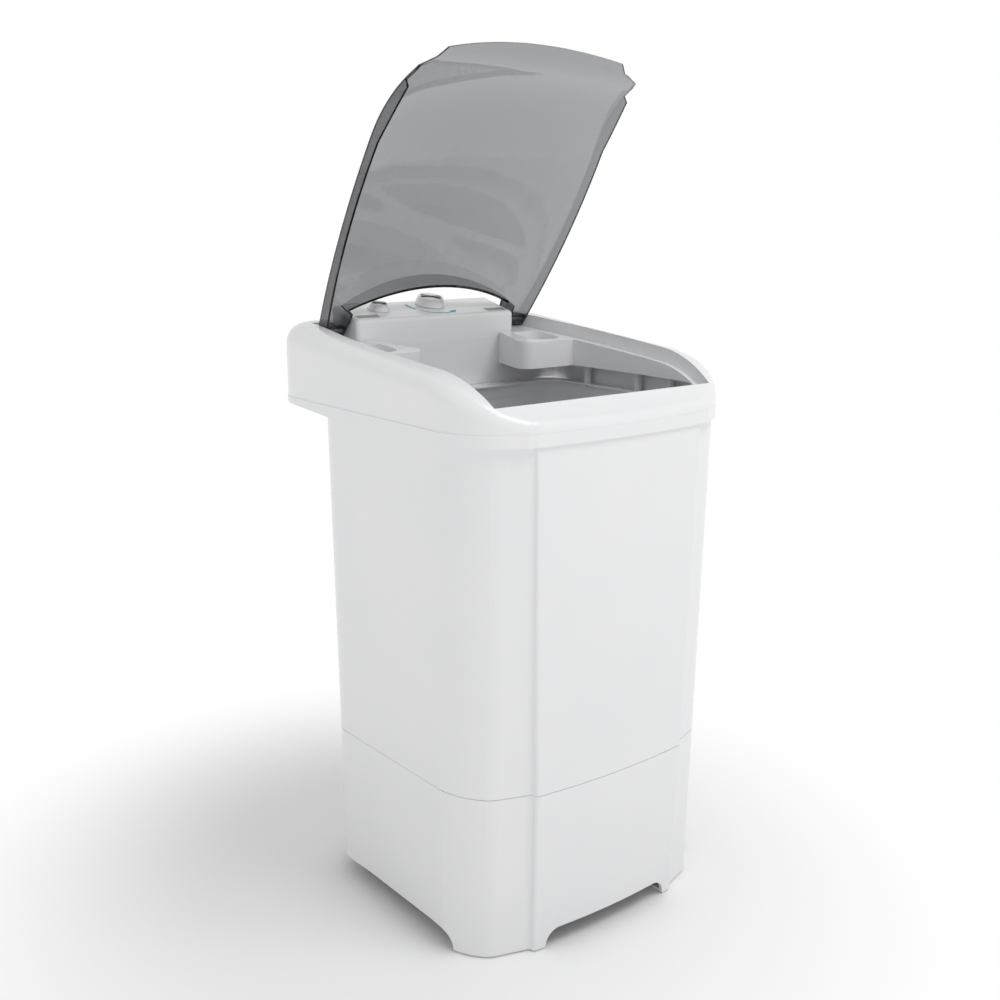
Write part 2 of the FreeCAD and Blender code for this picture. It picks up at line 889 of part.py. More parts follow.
def seat_plan(outset=0):
    """Recess that the closed lid lies in, as far back as the hinge ends swing."""
    gap = s.lid_gap + outset
    first = s.mouth_front_setback - outset
    last = s.hinge_setback
    right = [
        (lid_half(first, gap), front + first, s.lid_side_radius + gap),
        (lid_half(last, gap), front + last),
        (lid_half(last, gap), front + last + s.seat_tail + outset),
    ]
    return mirrored(right)


def top_frame():
    low = s.cabinet_height
    tall = s.rim_rear_height - low + MARGIN
    walls = prism("frame_walls", "XY_Plane", frame_plan(), low, tall)
    blank = overlap("frame_blank", walls, below_rim("frame_under_rim", 0, low))
    collar_top = low + s.collar_height

    def on_rim(edge):
        middle = edge.valueAt((edge.FirstParameter + edge.LastParameter) / 2)
        low_edge = middle.z < number(collar_top)
        return not low_edge and edge.BoundBox.XLength + edge.BoundBox.YLength > 1

    def rim_radius(point):
        """Tight over the front edge, wide along the sides and the back."""
        share = (point.y - number(front)) / number(s.rim_round_setback)
        return number(s.rim_front_round) + min(max(share, 0), 1) * number(s.rim_round - s.rim_front_round)

    rounded = round_edges("frame_rounded", blank, on_rim, rim_radius)
    collar = prism("frame_collar", "XY_Plane", frame_plan(s.collar_proud), low, s.collar_height)
    body = join("frame_body", rounded, collar)
    seat = overlap("lid_seat", prism("lid_seat_plan", "XY_Plane", seat_plan(), low, tall),
                   above_rim("lid_seat_floor", s.ledge_drop))
    mouth = prism("mouth", "XY_Plane", mouth_plan(), low - MARGIN, tall + MARGIN)
    console_seat = overlap("console_seat", console_pocket("console_pocket", s.lid_gap),
                           above_rim("console_seat_floor", s.console_drop))
    carved = cut("frame_carved", body, seat, mouth, console_seat, overhang_relief())
    hollow = cut("frame_hollow", carved, *frame_cavities())
    bosses = overlap("frame_bosses", join("frame_boss_blanks", *frame_boss_blanks()), carved)
    return cut("top_frame", join("frame_whole", hollow, bosses), *frame_holes())


def overhang_relief():
    """Wedge that lifts the underside of the frame towards its overhanging rear."""
    start = front + s.overhang_start_setback
    low = s.cabinet_height
    corners = [
        (start, low - MARGIN),
        (rear + MARGIN, low - MARGIN),
        (rear + MARGIN, low + s.overhang_rise),
        (rear, low + s.overhang_rise),
        (start, low),
    ]
    return prism("overhang_relief", "YZ_Plane", corners, -s.overall_depth, s.overall_depth * 2)


def console_pocket(name, gap):
    half = s.console_half_width + gap
    front_y = front + s.mouth_rear_setback - s.wall
    back_y = front + s.mouth_rear_setback + s.console_depth + gap
    corners = [(-half, front_y), (half, front_y), (half, back_y), (-half, back_y)]
    return prism(name, "XY_Plane", corners, s.cabinet_height, s.rim_rear_height - s.cabinet_height + MARGIN)


def frame_cavities():
    """Hollows below the mouth wall, beside the mouth, inside the rims and under the console."""
    low = s.cabinet_height - MARGIN
    tall = s.rim_rear_height - low
    inside = frame_inside()
    lower = overlap(
        "lower_cavity",
        prism("lower_cavity_plan", "XY_Plane", inside, low, s.mouth_wall_height - low),
        below_rim("lower_cavity_top", s.ledge_drop + s.ledge_thickness, low),
    )
    skirt = prism("skirt_cavity", "XY_Plane", plan("top", -s.seat_gap), low, cabinet_top() - low)
    between = cut(
        "beside_mouth",
        prism("beside_mouth_outer", "XY_Plane", inside, low, tall),
        prism("beside_mouth_inner", "XY_Plane", mouth_plan(s.ledge_thickness, s.ledge_thickness), low, tall),
        rear_partition(),
    )
    side_top = below_rim("side_cavity_top", s.ledge_drop + s.ledge_thickness, low)
    side = overlap("side_cavity", between, side_top)
    rims = cut(
        "rim_ring",
        prism("rim_ring_outer", "XY_Plane", inside, low, tall),
        prism("rim_ring_inner", "XY_Plane", seat_plan(s.frame_wall), low, tall),
        rear_partition(),
    )
    rim = overlap("rim_cavity", rims, below_rim("rim_cavity_top", s.rim_solid, low))
    console_back = front + s.mouth_rear_setback + s.console_depth
    rear_corners = [
        (-s.console_half_width, front + s.mouth_rear_setback + s.ledge_thickness),
        (s.console_half_width, front + s.mouth_rear_setback + s.ledge_thickness),
        (s.console_half_width, console_back),
        (-s.console_half_width, console_back),
    ]
    under = overlap(
        "under_console",
        prism("under_console_plan", "XY_Plane", rear_corners, low, tall),
        below_rim("under_console_top", s.console_drop + s.ledge_thickness, low),
    )
    return [lower, skirt, side, rim, under]


def rear_partition():
    """Keeps the side hollow from reaching under the console's deeper seat."""
    half = s.console_half_width + s.lid_gap + s.ledge_thickness
    width = s.console_depth + s.wall * 3
    wall = block("console_block", half * 2, width, s.rim_rear_height)
    return place(wall, -half, front + s.mouth_rear_setback - s.wall, 0)


def tray_place(side):
    """Lowest corner and sides of a tray hollow in a shelf."""
    x_low = s.shelf_rear_half_gap + s.tray_margin / 2
    x_high = s.mouth_half_width - s.tray_margin / 2
    y_low = front + s.shelf_setback + s.tray_margin
    y_high = front + s.mouth_rear_setback - s.tray_margin
    x = x_low if side > 0 else -x_high
    return x, y_low, x_high - x_low, y_high - y_low


def round_box(x, y, length, width, radius):
    """Rectangle with round corners, from its lowest corner."""
    return [
        (x + radius, y),
        (x + length - radius, y, radius),
        (x + length, y + radius),
        (x + length, y + width - radius, radius),
        (x + length - radius, y + width),
        (x + radius, y + width, radius),
        (x, y + width - radius),
        (x, y + radius, radius),
    ]


def tray_floor():
    return rim_height(s.shelf_setback, s.ledge_drop + s.tray_depth)


def ring_screw_places():
    for side in (-1, 1):
        for setback in (s.rim_bend_setback, s.drive_setback, s.shelf_setback):
            yield side * (s.top_half_width - s.ring_screw_inset), front + setback


def frame_boss_blanks():
    """Tray cups, hinge and screw bosses and the wall behind the mouth, not yet trimmed to the frame."""
    blanks = []
    for side in (-1, 1):
        x, y, length, width = tray_place(side)
        cup = block("tray_cup", length + s.tray_wall * 2, width + s.tray_wall * 2, s.tray_depth * 2)
        blanks.append(place(cup, x - s.tray_wall, y - s.tray_wall, tray_floor() - s.tray_wall))
        boss = block("hinge_boss", s.pin_hold * 2, s.lug_radius * 2, s.lug_radius * 4)
        boss_x = s.lid_rear_half if side > 0 else -s.lid_rear_half - s.pin_hold * 2
        place(boss, boss_x, front + s.hinge_setback - s.lug_radius, s.hinge_height - s.lug_radius * 2)
        blanks.append(boss)
    wall_height = s.rim_rear_height - ring_top()
    back_wall = block("mouth_back_wall", s.top_half_width * 2, s.ledge_thickness, wall_height)
    blanks.append(place(back_wall, -s.top_half_width, front + s.mouth_rear_setback, ring_top() + s.seat_gap))
    for x, y in ring_screw_places():
        boss = rod("ring_boss", s.ring_boss_radius, wall_height)
        blanks.append(place(boss, x, y, ring_top()))
    for side in (-1, 1):
        boss = rod("cover_boss", s.ring_boss_radius, s.rim_rear_height - cover_top())
        blanks.append(place(boss, side * s.cover_screw_offset, cover_middle(), cover_top()))
    return blanks


def frame_holes():
    """Trays, pin holes, screw holes and the wire hole under the console."""
    holes = []
    for side in (-1, 1):
        x, y, length, width = tray_place(side)
        holes.append(prism("tray_hollow", "XY_Plane", round_box(x, y, length, width, s.tray_round),
                           tray_floor(), s.tray_depth * 3))
        bore = rod("pin_bore", s.pin_radius, s.pin_hold + s.lid_gap)
        bore_x = s.lid_rear_half if side > 0 else -s.lid_rear_half - s.pin_hold - s.lid_gap
        holes.append(place(bore, bore_x, front + s.hinge_setback, s.hinge_height, ALONG_X))
    for x, y in ring_screw_places():
        hole = rod("ring_screw_hole", s.screw_radius + s.fit_gap, s.screw_length)
        holes.append(place(hole, x, y, ring_top()))
    passage = rod("wire_hole", s.wire_hole_radius, s.console_drop * 2)
    below_seat = shelf_height(s.mouth_rear_setback, s.console_drop)
    holes.append(place(passage, s.console_half_width / 2, console_screw_y(), below_seat))
    for side in (-1, 1):
        hole = rod("console_screw_hole", s.screw_radius + s.fit_gap, s.console_drop * 2)
        holes.append(place(hole, side * console_screw_x(), console_screw_y(), below_seat))
        hole = rod("cover_screw_hole", s.screw_radius + s.fit_gap, s.screw_length)
        holes.append(place(hole, side * s.cover_screw_offset, cover_middle(), cover_top()))
    return holes


def shelf_height(setback, lower=0):
    """Height of the console's seat at a setback, or a little lower."""
    return rim_height(setback, s.console_drop) - lower


# Cover under the rear overhang

def cover_top():
    return s.cabinet_height + s.overhang_rise + s.cover_thickness * 2


def cover_middle():
    return front + (s.cover_front_setback + s.cover_rear_setback) / 2


def compartment_cover():
    """Plate that closes the wiring space behind the tub."""
    depth = s.cover_rear_setback - s.cover_front_setback
    plate = block("cover_plate", s.console_half_width * 2, depth, s.cover_thickness)
    place(plate, -s.console_half_width, cover_middle() - depth / 2, cover_top() - s.cover_thickness)
    holes = []
    hole_low = cover_top() - s.cover_thickness * 2
    for side in (-1, 1):
        hole = rod("cover_hole", s.screw_radius + s.fit_gap, s.cover_thickness * 3)
        holes.append(place(hole, side * s.cover_screw_offset, cover_middle(), hole_low))
    return cut("compartment_cover", plate, *holes)


def cover_screws():
    screws = []
    underside = cover_top() - s.cover_thickness
    for side in (-1, 1):
        screw = screw_shape("cover_screw", s.screw_length)
        screws.append(place(screw, side * s.cover_screw_offset, cover_middle(), underside, UPSIDE_DOWN))
    return group("cover_screws", screws)


# Mouth ring between the tub's upper lip and the frame

def ring_top():
    return cabinet_top() + s.ring_thickness


def mouth_ring():
    """Flat U screwed up under the frame; its rear shelf reaches from the tub to the frame's back wall."""
    inset = s.wall + s.seat_gap
    reach = s.mouth_rear_setback + s.ledge_thickness * 3
    plate = prism("ring_plate", "XY_Plane", plan("top", inset, reach), cabinet_top(), s.ring_thickness)
    mouth = prism("ring_mouth", "XY_Plane", plan("top", s.ring_width), cabinet_top() - MARGIN, MARGIN * 2)
    open_front = block("ring_open_front", s.overall_depth, s.overall_depth, MARGIN * 2)
    ring_start = front + s.mouth_front_setback
    place(open_front, -s.overall_depth / 2, ring_start - s.overall_depth, cabinet_top() - MARGIN)
    holes = []
    for x, y in ring_screw_places():
        hole = rod("ring_hole", s.screw_radius + s.fit_gap, s.ring_thickness * 3)
        holes.append(place(hole, x, y, cabinet_top() - s.ring_thickness))
    return cut("mouth_ring", plate, mouth, open_front, *holes)


def ring_screws():
    screws = []
    for x, y in ring_screw_places():
        screw = screw_shape("ring_screw", s.screw_length)
        screws.append(place(screw, x, y, cabinet_top(), UPSIDE_DOWN))
    return group("ring_screws", screws)


HEAD_RIM_SHARE = 0.6
HEAD_TOP_SHARE = 0.7


def screw_shape(name, length, radius=None):
    """Pan-head screw with its head above z = 0 and its shank below."""
    neck = s.screw_head_height * HEAD_RIM_SHARE
    shank = radius or s.screw_radius
    return turned(name, [
        (0, -length),
        (shank, -length),
        (shank, 0),
        (s.screw_head_radius, 0),
        (s.screw_head_radius, neck),
        (s.screw_head_radius * HEAD_TOP_SHARE, s.screw_head_height),
        (0, s.screw_head_height),
    ])


# Lid, made closed about its own hinge line and then turned open

def lid_plan(inset=0, front_reach=0):
    """Closed lid seen from above, about the hinge line."""
    origin = s.hinge_setback
    tail = s.lid_arm_tail - inset
    right = [
        (s.lip_half_width, front_reach - origin),
        (s.lid_notch_half, s.lid_notch_setback - origin),
        (s.lid_rear_half - inset, s.lid_shoulder_setback - origin, s.lid_side_radius - inset),
        (s.lid_rear_half - inset, tail),
        (s.lid_arm_inner + inset, tail),
        (s.arch_half_width + inset, s.arch_setback - origin - inset, -s.arch_radius),
    ]
    outline = mirrored(right[:-1])
    arch = right[-1][:2]
    middle = len(right) - 1
    outline[middle:middle] = [arch + (0 - s.arch_radius,), (-arch[0], arch[1])]
    if front_reach == 0:
        outline[-1] = outline[-1][:2] + (s.lip_radius,)
    return outline


def lid_path_corners():
    """Side edge of the closed lid about the hinge line: nose, brow, bend and tail."""
    points = []
    for y, z in rim_line(0):
        points.append((y - front - s.hinge_setback, z - s.hinge_height))
    return points


def lid_sweep(name, drop, depth):
    """Crowned section carried along the rim line, its top lowered by drop and its foot at depth."""
    nose, brow, bend, tail = lid_path_corners()
    half = s.lid_half_width
    crown = (half * half + s.lid_crown * s.lid_crown) / (s.lid_crown * 2)
    body = document.addObject("PartDesign::Body", name)
    foot = tail[1] - depth
    shoulder = tail[1] - drop
    section = sketch_on(body, "XZ_Plane", [
        (-half, foot),
        (half, foot),
        (half, shoulder, crown),
        (-half, shoulder),
    ], -tail[0])
    spine = body.newObject("Sketcher::SketchObject", name + "_spine")
    origin = [feature for feature in body.Origin.OriginFeatures if feature.Role == "YZ_Plane"][0]
    spine.AttachmentSupport = (origin, [""])
    spine.MapMode = "FlatFace"
    lip = (nose[0] - s.lip_reach, nose[1] - s.lip_drop)
    draw_open(spine, [tail, bend + (s.rim_bend_radius,), brow + (-s.rim_nose_radius,), nose, lip])
    pipe = body.newObject("PartDesign::AdditivePipe", name + "_pipe")
    pipe.Profile = section
    pipe.Spine = (spine, [])
    pipe.Mode = "Fixed"
    return body


def lid_floor_profile():
    """Side view of the lid's lower edge: deep skirts beside the mouth, none over the front rim."""
    nose, brow, bend, tail = lid_path_corners()
    rise = s.lid_gap
    top = s.rim_rear_height - s.hinge_height + s.lid_crown + MARGIN
    return [
        (nose[0] - MARGIN, nose[1] + rise - MARGIN / 2),
        (nose[0], nose[1] + rise),
        (brow[0], brow[1] + rise),
        (s.skirt_start_setback - s.hinge_setback, s.skirt_start_height - s.hinge_height),
        (s.skirt_heel_setback - s.hinge_setback, s.skirt_heel_height - s.hinge_height),
        (bend[0], bend[1] - s.lid_skirt),
        (tail[0], tail[1] - s.lid_skirt),
        (tail[0], top),
        (nose[0] - MARGIN, top),
    ]


def lid_shell():
    reach = s.overall_depth
    tall = s.lid_crown + s.rim_rear_height - s.hinge_height + s.lid_skirt
    deep = s.hinge_height - s.rim_nose_height + s.lid_skirt
    outline = prism("lid_outline", "XY_Plane", lid_plan(), -deep, deep + tall)
    trim = prism("lid_trim", "YZ_Plane", lid_floor_profile(), -reach, reach * 2)
    solid = overlap("lid_solid", overlap("lid_block", lid_sweep("lid_crowned", 0, MARGIN), outline), trim)
    inside = prism("lid_inside", "XY_Plane", lid_plan(s.lid_wall, -MARGIN), -deep * 2, deep * 2 + tall)
    hollow = overlap("lid_hollow", lid_sweep("lid_crowned_inside", s.lid_wall, MARGIN * 2), inside)
    arch_trim = block("arch_trim", s.arch_half_width * 2, MARGIN * 2, MARGIN)
    arch_y = s.arch_setback - s.hinge_setback - MARGIN * 2 + s.lid_wall * 2
    place(arch_trim, -s.arch_half_width, arch_y, s.arch_skirt_height - s.hinge_height - MARGIN)
    lugs = []
    bores = []
    lug_length = s.lid_rear_half - s.lid_arm_inner - s.lid_gap
    for side in (-1, 1):
        x = s.lid_arm_inner + s.lid_gap / 2 if side > 0 else -s.lid_rear_half + s.lid_gap / 2
        lugs.append(place(rod("lid_lug", s.lug_radius, lug_length), x, 0, 0, ALONG_X))
        bore = rod("lid_bore", s.pin_radius + s.fit_gap, lug_length * 2)
        bores.append(place(bore, x - lug_length / 2, 0, 0, ALONG_X))
    shell = cut("lid_hollowed", solid, hollow, arch_trim)
    lid = cut("lid_shell", join("lid_with_lugs", shell, *lugs), *bores)
    opened = FreeCAD.Rotation(FreeCAD.Vector(1, 0, 0), -number(s.lid_open_angle))
    return place(lid, 0, front + s.hinge_setback, s.hinge_height, opened)


def hinge_pins():
    """Steel pins pressed into the frame; the lid's lugs turn on them."""
    pins = []
    length = s.lid_rear_half - s.lid_arm_inner + s.pin_hold + s.lid_gap
    for side in (-1, 1):
        x = s.lid_arm_inner if side > 0 else -s.lid_arm_inner - length
        pin = rod("hinge_pin", s.pin_radius, length)
        pins.append(place(pin, x, front + s.hinge_setback, s.hinge_height, ALONG_X))
    return group("hinge_pins", pins)


# Control console

def console_slope():
    return (s.console_rear_height - s.console_front_height) / s.console_depth


def console_top(setback):
    return s.console_front_height + console_slope() * (setback - s.mouth_rear_setback)


def on_console(piece, x, setback):
    """Stands a piece that was made about Z on the sloping console top."""
    tilt = math.degrees(math.atan(number(console_slope())))
    leaning = FreeCAD.Rotation(FreeCAD.Vector(1, 0, 0), tilt)
    return place(piece, x, front + setback, console_top(setback), leaning)


def console_screw_x():
    return s.console_half_width - s.wall * 4


def console_screw_y():
    return front + s.mouth_rear_setback + s.console_depth - s.wall * 3


def console_side(inset, drop):
    """Side view of the console, drawn in by inset and with its foot lowered by drop."""
    first = s.mouth_rear_setback + inset
    last = s.mouth_rear_setback + s.console_depth - inset
    lean = (1 + console_slope() * console_slope()).root()
    return [
        (front + first, rim_height(first, s.console_drop) - drop),
        (front + last, rim_height(last, s.console_drop) - drop),
        (front + last, console_top(last) - inset * lean),
        (front + first, console_top(first) - inset * lean),
    ]


def control_panel():
    half = s.console_half_width
    blank = prism("console_blank", "YZ_Plane", console_side(0, 0), -half, half * 2)
    top = s.console_front_height - s.console_round

    def on_top(edge):
        return edge.BoundBox.ZMin > number(top) or edge.BoundBox.ZLength > number(s.console_round)

    rounded = round_edges("console_rounded", blank, on_top, lambda point: number(s.console_round))
    inner_half = half - s.console_wall
    inner_side = console_side(s.console_wall, MARGIN)
    inside = prism("console_inside", "YZ_Plane", inner_side, -inner_half, inner_half * 2)
    shell = cut("console_shell", rounded, inside)
    posts = []
    holes = []
    for x in (-1, 1):
        low = rim_height(s.mouth_rear_setback + s.console_depth, s.console_drop)
        post = rod("console_post", s.screw_radius * 3, s.console_rear_height - s.console_wall * 2 - low)
        posts.append(place(post, x * console_screw_x(), console_screw_y(), low))
        hole = rod("console_post_hole", s.screw_radius + s.fit_gap, s.screw_length)
        holes.append(place(hole, x * console_screw_x(), console_screw_y(), low))
    for x, setback in ((s.timer_offset, s.timer_setback), (-s.selector_offset, s.selector_setback)):
        bore = rod("console_bore", s.control_shaft_radius + s.seat_gap * 2, MARGIN)
        holes.append(on_console(sunk(bore, MARGIN / 2), x, setback))
    for x, setback in module_screw_places():
        hole = rod("module_screw_pass", s.screw_radius + s.fit_gap, s.console_wall * 4)
        pocket = rod("module_screw_pocket", s.screw_head_radius + s.seat_gap, s.console_wall)
        holes.append(on_console(sunk(hole, s.console_wall * 2), x, setback))
        holes.append(on_console(sunk(pocket, s.sunk_head_height), x, setback))
    for side in (-1, 1):
        hollow = block("console_hollow", s.hollow_length, s.hollow_width, s.console_wall)
        place(hollow, -s.hollow_length / 2, -s.hollow_width / 2, -s.hollow_depth)
        corner_x = s.console_half_width - s.console_round - s.hollow_length / 2
        corner_setback = s.mouth_rear_setback + s.console_round + s.hollow_width / 2
        holes.append(on_console(group("console_corner", [hollow]), side * corner_x, corner_setback))
    return cut("control_panel", join("console_with_posts", shell, *posts), *holes)


def sunk(piece, depth):
    """Holder that moves a piece down its own axis, so that it can be stood on the console."""
    place(piece, 0, 0, -depth)
    return group(piece.Name + "_sunk", [piece])


def module_screw_places():
    """Two screws beside each control shaft, hidden under its knob."""
    for side in (-1, 1):
        yield side * (s.timer_width / 2 - s.module_screw_inset) + s.timer_offset, s.timer_setback
        yield side * (s.selector_width / 2 - s.module_screw_inset) - s.selector_offset, s.selector_setback


def module_screws():
    screws = []
    for x, setback in module_screw_places():
        screw = turned("module_screw", [
            (0, -s.screw_length),
            (s.screw_radius, -s.screw_length),
            (s.screw_radius, -s.sunk_head_height),
            (s.screw_head_radius, -s.sunk_head_height),
            (s.screw_head_radius, -s.seat_gap),
            (0, -s.seat_gap),
        ])
        screws.append(on_console(screw, x, setback))
    return group("module_screws", screws)


def module_shape(name, width, depth, height, shaft):
    """Control body screwed up under the console top, with its shaft rising through it."""
    top = s.console_wall + s.seat_gap
    case = place(block(name + "_case", width, depth, height), -width / 2, -depth / 2, -top - height)
    stem = rod(name + "_stem", s.control_shaft_radius, shaft + top + height / 2)
    place(stem, 0, 0, -top - height / 2)
    holes = []
    for side in (-1, 1):
        hole = rod(name + "_screw_hole", s.screw_radius + s.fit_gap, s.screw_length)
        holes.append(place(hole, side * (width / 2 - s.module_screw_inset), 0, -s.screw_length - s.seat_gap))
    return cut(name, join(name + "_body", case, stem), *holes)


def timer_module():
    module = module_shape("timer_module", s.timer_width, s.timer_depth, s.timer_height, s.control_shaft_rise)
    return on_console(module, s.timer_offset, s.timer_setback)


def selector_switch():
    switch = module_shape("selector_switch", s.selector_width, s.selector_depth, s.selector_height,
                          s.control_shaft_rise / 2)
    return on_console(switch, -s.selector_offset, s.selector_setback)


def knob_shape(name, radius, skirt, height, shaft):
    """Moulded knob: broad skirt, slightly tapered grip and a blind bore for the shaft."""
    bore = s.control_shaft_radius + s.fit_gap
    return turned(name, [
        (bore, s.seat_gap * 2),
        (skirt, s.seat_gap * 2),
        (skirt, s.knob_skirt_height / 2),
        (radius + s.wall / 2, s.knob_skirt_height),
        (radius, height - s.wall),
        (radius - s.wall / 2, height),
        (0, height),
        (0, shaft + s.seat_gap),
        (bore, shaft + s.seat_gap),
    ])


def timer_knob():
    knob = knob_shape("timer_knob", s.timer_knob_radius, s.timer_skirt_radius, s.timer_knob_height,
                      s.control_shaft_rise)
    return on_console(knob, s.timer_offset, s.timer_setback)


def selector_knob():
    knob = knob_shape("selector_knob", s.selector_knob_radius, s.selector_skirt_radius,
                      s.selector_knob_height, s.control_shaft_rise / 2)
    return on_console(knob, -s.selector_offset, s.selector_setback)


def panel_screws():
    """Screws up through the console's seat into its posts."""
    screws = []
    low = shelf_height(s.mouth_rear_setback + s.console_depth, s.ledge_thickness + s.screw_head_height)
    for side in (-1, 1):
        screw = screw_shape("panel_screw", s.screw_length)
        screws.append(place(screw, side * console_screw_x(), console_screw_y(), low, UPSIDE_DOWN))
    return group("panel_screws", screws)


# Pulsator and its shaft

def bore_radius():
    return s.shaft_radius + s.fit_gap


def pulley_low():
    return s.pulley_middle_height - s.pulley_width / 2


def pulley_high():
    return s.pulley_middle_height + s.pulley_width / 2


def housing_low():
    return hub_underside() - s.housing_length


def seal_low():
    return hub_underside() + s.housing_spigot_rise - s.seal_height


def on_drive(piece, z=0):
    return place(piece, 0, drive_y(), z)


HUB_TOP_SHARE = 0.7


def pulsator():
    low = well_floor() + s.pulsator_gap
    top = low + s.pulsator_hub_height
    plate = low + s.pulsator_plate
    hub_top_radius = s.pulsator_hub_radius * HUB_TOP_SHARE
    disc = turned("pulsator_disc", [
        (bore_radius(), low),
        (s.pulsator_radius, low + s.pulsator_plate),
        (s.pulsator_radius, plate + s.pulsator_plate),
        (s.pulsator_hub_radius, plate + s.pulsator_plate / 2),
        (hub_top_radius, top),
        (s.screw_radius + s.fit_gap, top),
        (s.screw_radius + s.fit_gap, s.shaft_top_height + s.seat_gap),
        (bore_radius(), s.shaft_top_height + s.seat_gap),
    ])
    vanes = []
    for index in range(int(number(s.vane_count))):
        vane = prism("pulsator_vane", "XZ_Plane", [
            (hub_top_radius, plate),
            (s.pulsator_radius - s.vane_width / 2, plate + s.pulsator_plate / 2),
            (s.pulsator_radius - s.vane_width * 2, plate + s.vane_height / 2),
            (hub_top_radius, plate + s.vane_height),
        ], -s.vane_width / 2, s.vane_width)
        turn = FreeCAD.Rotation(FreeCAD.Vector(0, 0, 1), 360.0 * index / number(s.vane_count))
        vanes.append(place(vane, 0, 0, 0, turn))
    return on_drive(join("pulsator", disc, *vanes))


def pulsator_screw():
    head = well_floor() + s.pulsator_gap + s.pulsator_hub_height
    return on_drive(screw_shape("pulsator_screw", s.screw_length), head)


def drive_shaft():
    """Steel shaft with a shoulder between the driven pulley and the lower bush."""
    low = pulley_low() - s.nut_height * 2
    shoulder = s.shaft_radius + s.shoulder_step
    hole = s.screw_radius + s.fit_gap
    hole_low = s.shaft_top_height - s.screw_length
    return on_drive(turned("drive_shaft", [
        (0, low),
        (s.shaft_radius, low),
        (s.shaft_radius, pulley_high()),
        (shoulder, pulley_high()),
        (shoulder, housing_low() - s.seat_gap),
        (s.shaft_radius, housing_low() - s.seat_gap),
        (s.shaft_radius, s.shaft_top_height),
        (hole, s.shaft_top_height),
        (hole, hole_low),
        (0, hole_low),
    ]))


def bearing_housing():
    top = hub_underside() + s.housing_spigot_rise
    flange_low = hub_underside() - s.housing_flange_height
    bush_bore = s.shaft_radius + s.bush_wall + s.fit_gap
    seal_bore = s.shaft_radius + s.seal_wall + s.fit_gap
    body = turned("housing_body", [
        (bush_bore, housing_low()),
        (s.housing_radius, housing_low()),
        (s.housing_radius, flange_low),
        (s.housing_flange_radius, flange_low),
        (s.housing_flange_radius, hub_underside()),
        (s.housing_spigot_radius, hub_underside()),
        (s.housing_spigot_radius, top),
        (seal_bore, top),
        (seal_bore, seal_low()),
        (bush_bore, seal_low()),
    ])
    on_drive(body)
    holes = []
    for x, y in housing_screw_places():
        hole = rod("housing_hole", s.screw_radius + s.fit_gap, s.housing_flange_height * 3)
        holes.append(place(hole, x, y, flange_low - s.housing_flange_height))
    return cut("bearing_housing", body, *holes)


def housing_screws():
    screws = []
    length = s.housing_flange_height + s.hub_thickness / 2
    for x, y in housing_screw_places():
        screw = screw_shape("housing_screw", length)
        screws.append(place(screw, x, y, hub_underside() - s.housing_flange_height, UPSIDE_DOWN))
    return group("housing_screws", screws)


def ring_shape(name, inner, outer, low, height):
    return turned(name, [(inner, low), (outer, low), (outer, low + height), (inner, low + height)])


def bearing_bushes():
    outer = s.shaft_radius + s.bush_wall
    bushes = []
    for low in (housing_low(), seal_low() - s.bush_height):
        bushes.append(on_drive(ring_shape("bearing_bush", bore_radius(), outer, low, s.bush_height)))
    return group("bearing_bushes", bushes)


def shaft_seal():
    outer = s.shaft_radius + s.seal_wall
    return on_drive(ring_shape("shaft_seal", bore_radius(), outer, seal_low(), s.seal_height))


# Belt drive

def groove_half():
    return s.belt_width / 2 + s.belt_gap


def pulley_shape(name, bore, radius, rim):
    """Grooved pulley; a broad one has a thin web between its hub and rim."""
    low = pulley_low()
    high = pulley_high()
    middle = s.pulley_middle_height
    outline = [
        (radius, low),
        (radius, middle - groove_half()),
        (radius - s.groove_depth, middle - groove_half()),
        (radius - s.groove_depth, middle + groove_half()),
        (radius, middle + groove_half()),
        (radius, high),
    ]
    if rim is not None:
        web = s.pulley_web / 2
        outline = [
            (s.pulley_hub_radius, low),
            (s.pulley_hub_radius, middle - web),
            (rim, middle - web),
            (rim, low),
        ] + outline + [
            (rim, high),
            (rim, middle + web),
            (s.pulley_hub_radius, middle + web),
            (s.pulley_hub_radius, high),
        ]
    return turned(name, [(bore, low)] + outline + [(bore, high)])


def driven_pulley():
    rim = s.driven_pulley_radius - s.groove_depth * 2
    return on_drive(pulley_shape("driven_pulley", bore_radius(), s.driven_pulley_radius, rim))


def pulley_nut():
    outer = s.shaft_radius + s.nut_radius
    return on_drive(ring_shape("pulley_nut", bore_radius(), outer, pulley_low() - s.nut_height, s.nut_height))


def motor_pulley():
    pulley = pulley_shape("motor_pulley", s.rotor_shaft_radius + s.fit_gap, s.motor_pulley_radius, None)
    return place(pulley, 0, motor_y(), 0)


def belt_loop(outset):
    """Loop round both pulleys: two arcs and the straight runs between them."""
    large = s.driven_pulley_radius - s.groove_depth + s.belt_gap + outset
    small = s.motor_pulley_radius - s.groove_depth + s.belt_gap + outset
    lean = (large - small) / s.motor_distance
    square = (1 - lean * lean).root()
    return [
        (0, -large, large),
        (large * square, large * lean),
        (small * square, s.motor_distance + small * lean, small),
        (-small * square, s.motor_distance + small * lean),
        (-large * square, large * lean, large),
    ]


def drive_belt():
    low = s.pulley_middle_height - s.belt_width / 2
    outer = prism("belt_outer", "XY_Plane", belt_loop(s.belt_thickness), low, s.belt_width)
    inner = prism("belt_inner", "XY_Plane", belt_loop(0), low, s.belt_width)
    return on_drive(cut("drive_belt", outer, inner))


# Motor on its bracket

def motor_top():
    return bracket_top() - s.bracket_thickness


def motor_low():
    return motor_top() - s.motor_height


def on_motor(piece, z=0):
    return place(piece, 0, motor_y(), z)


def motor_bolt_places():
    reach = s.motor_bolt_circle * math.sqrt(0.5)
    for x in (-1, 1):
        for y in (-1, 1):
            yield x * reach, motor_y() + y * reach


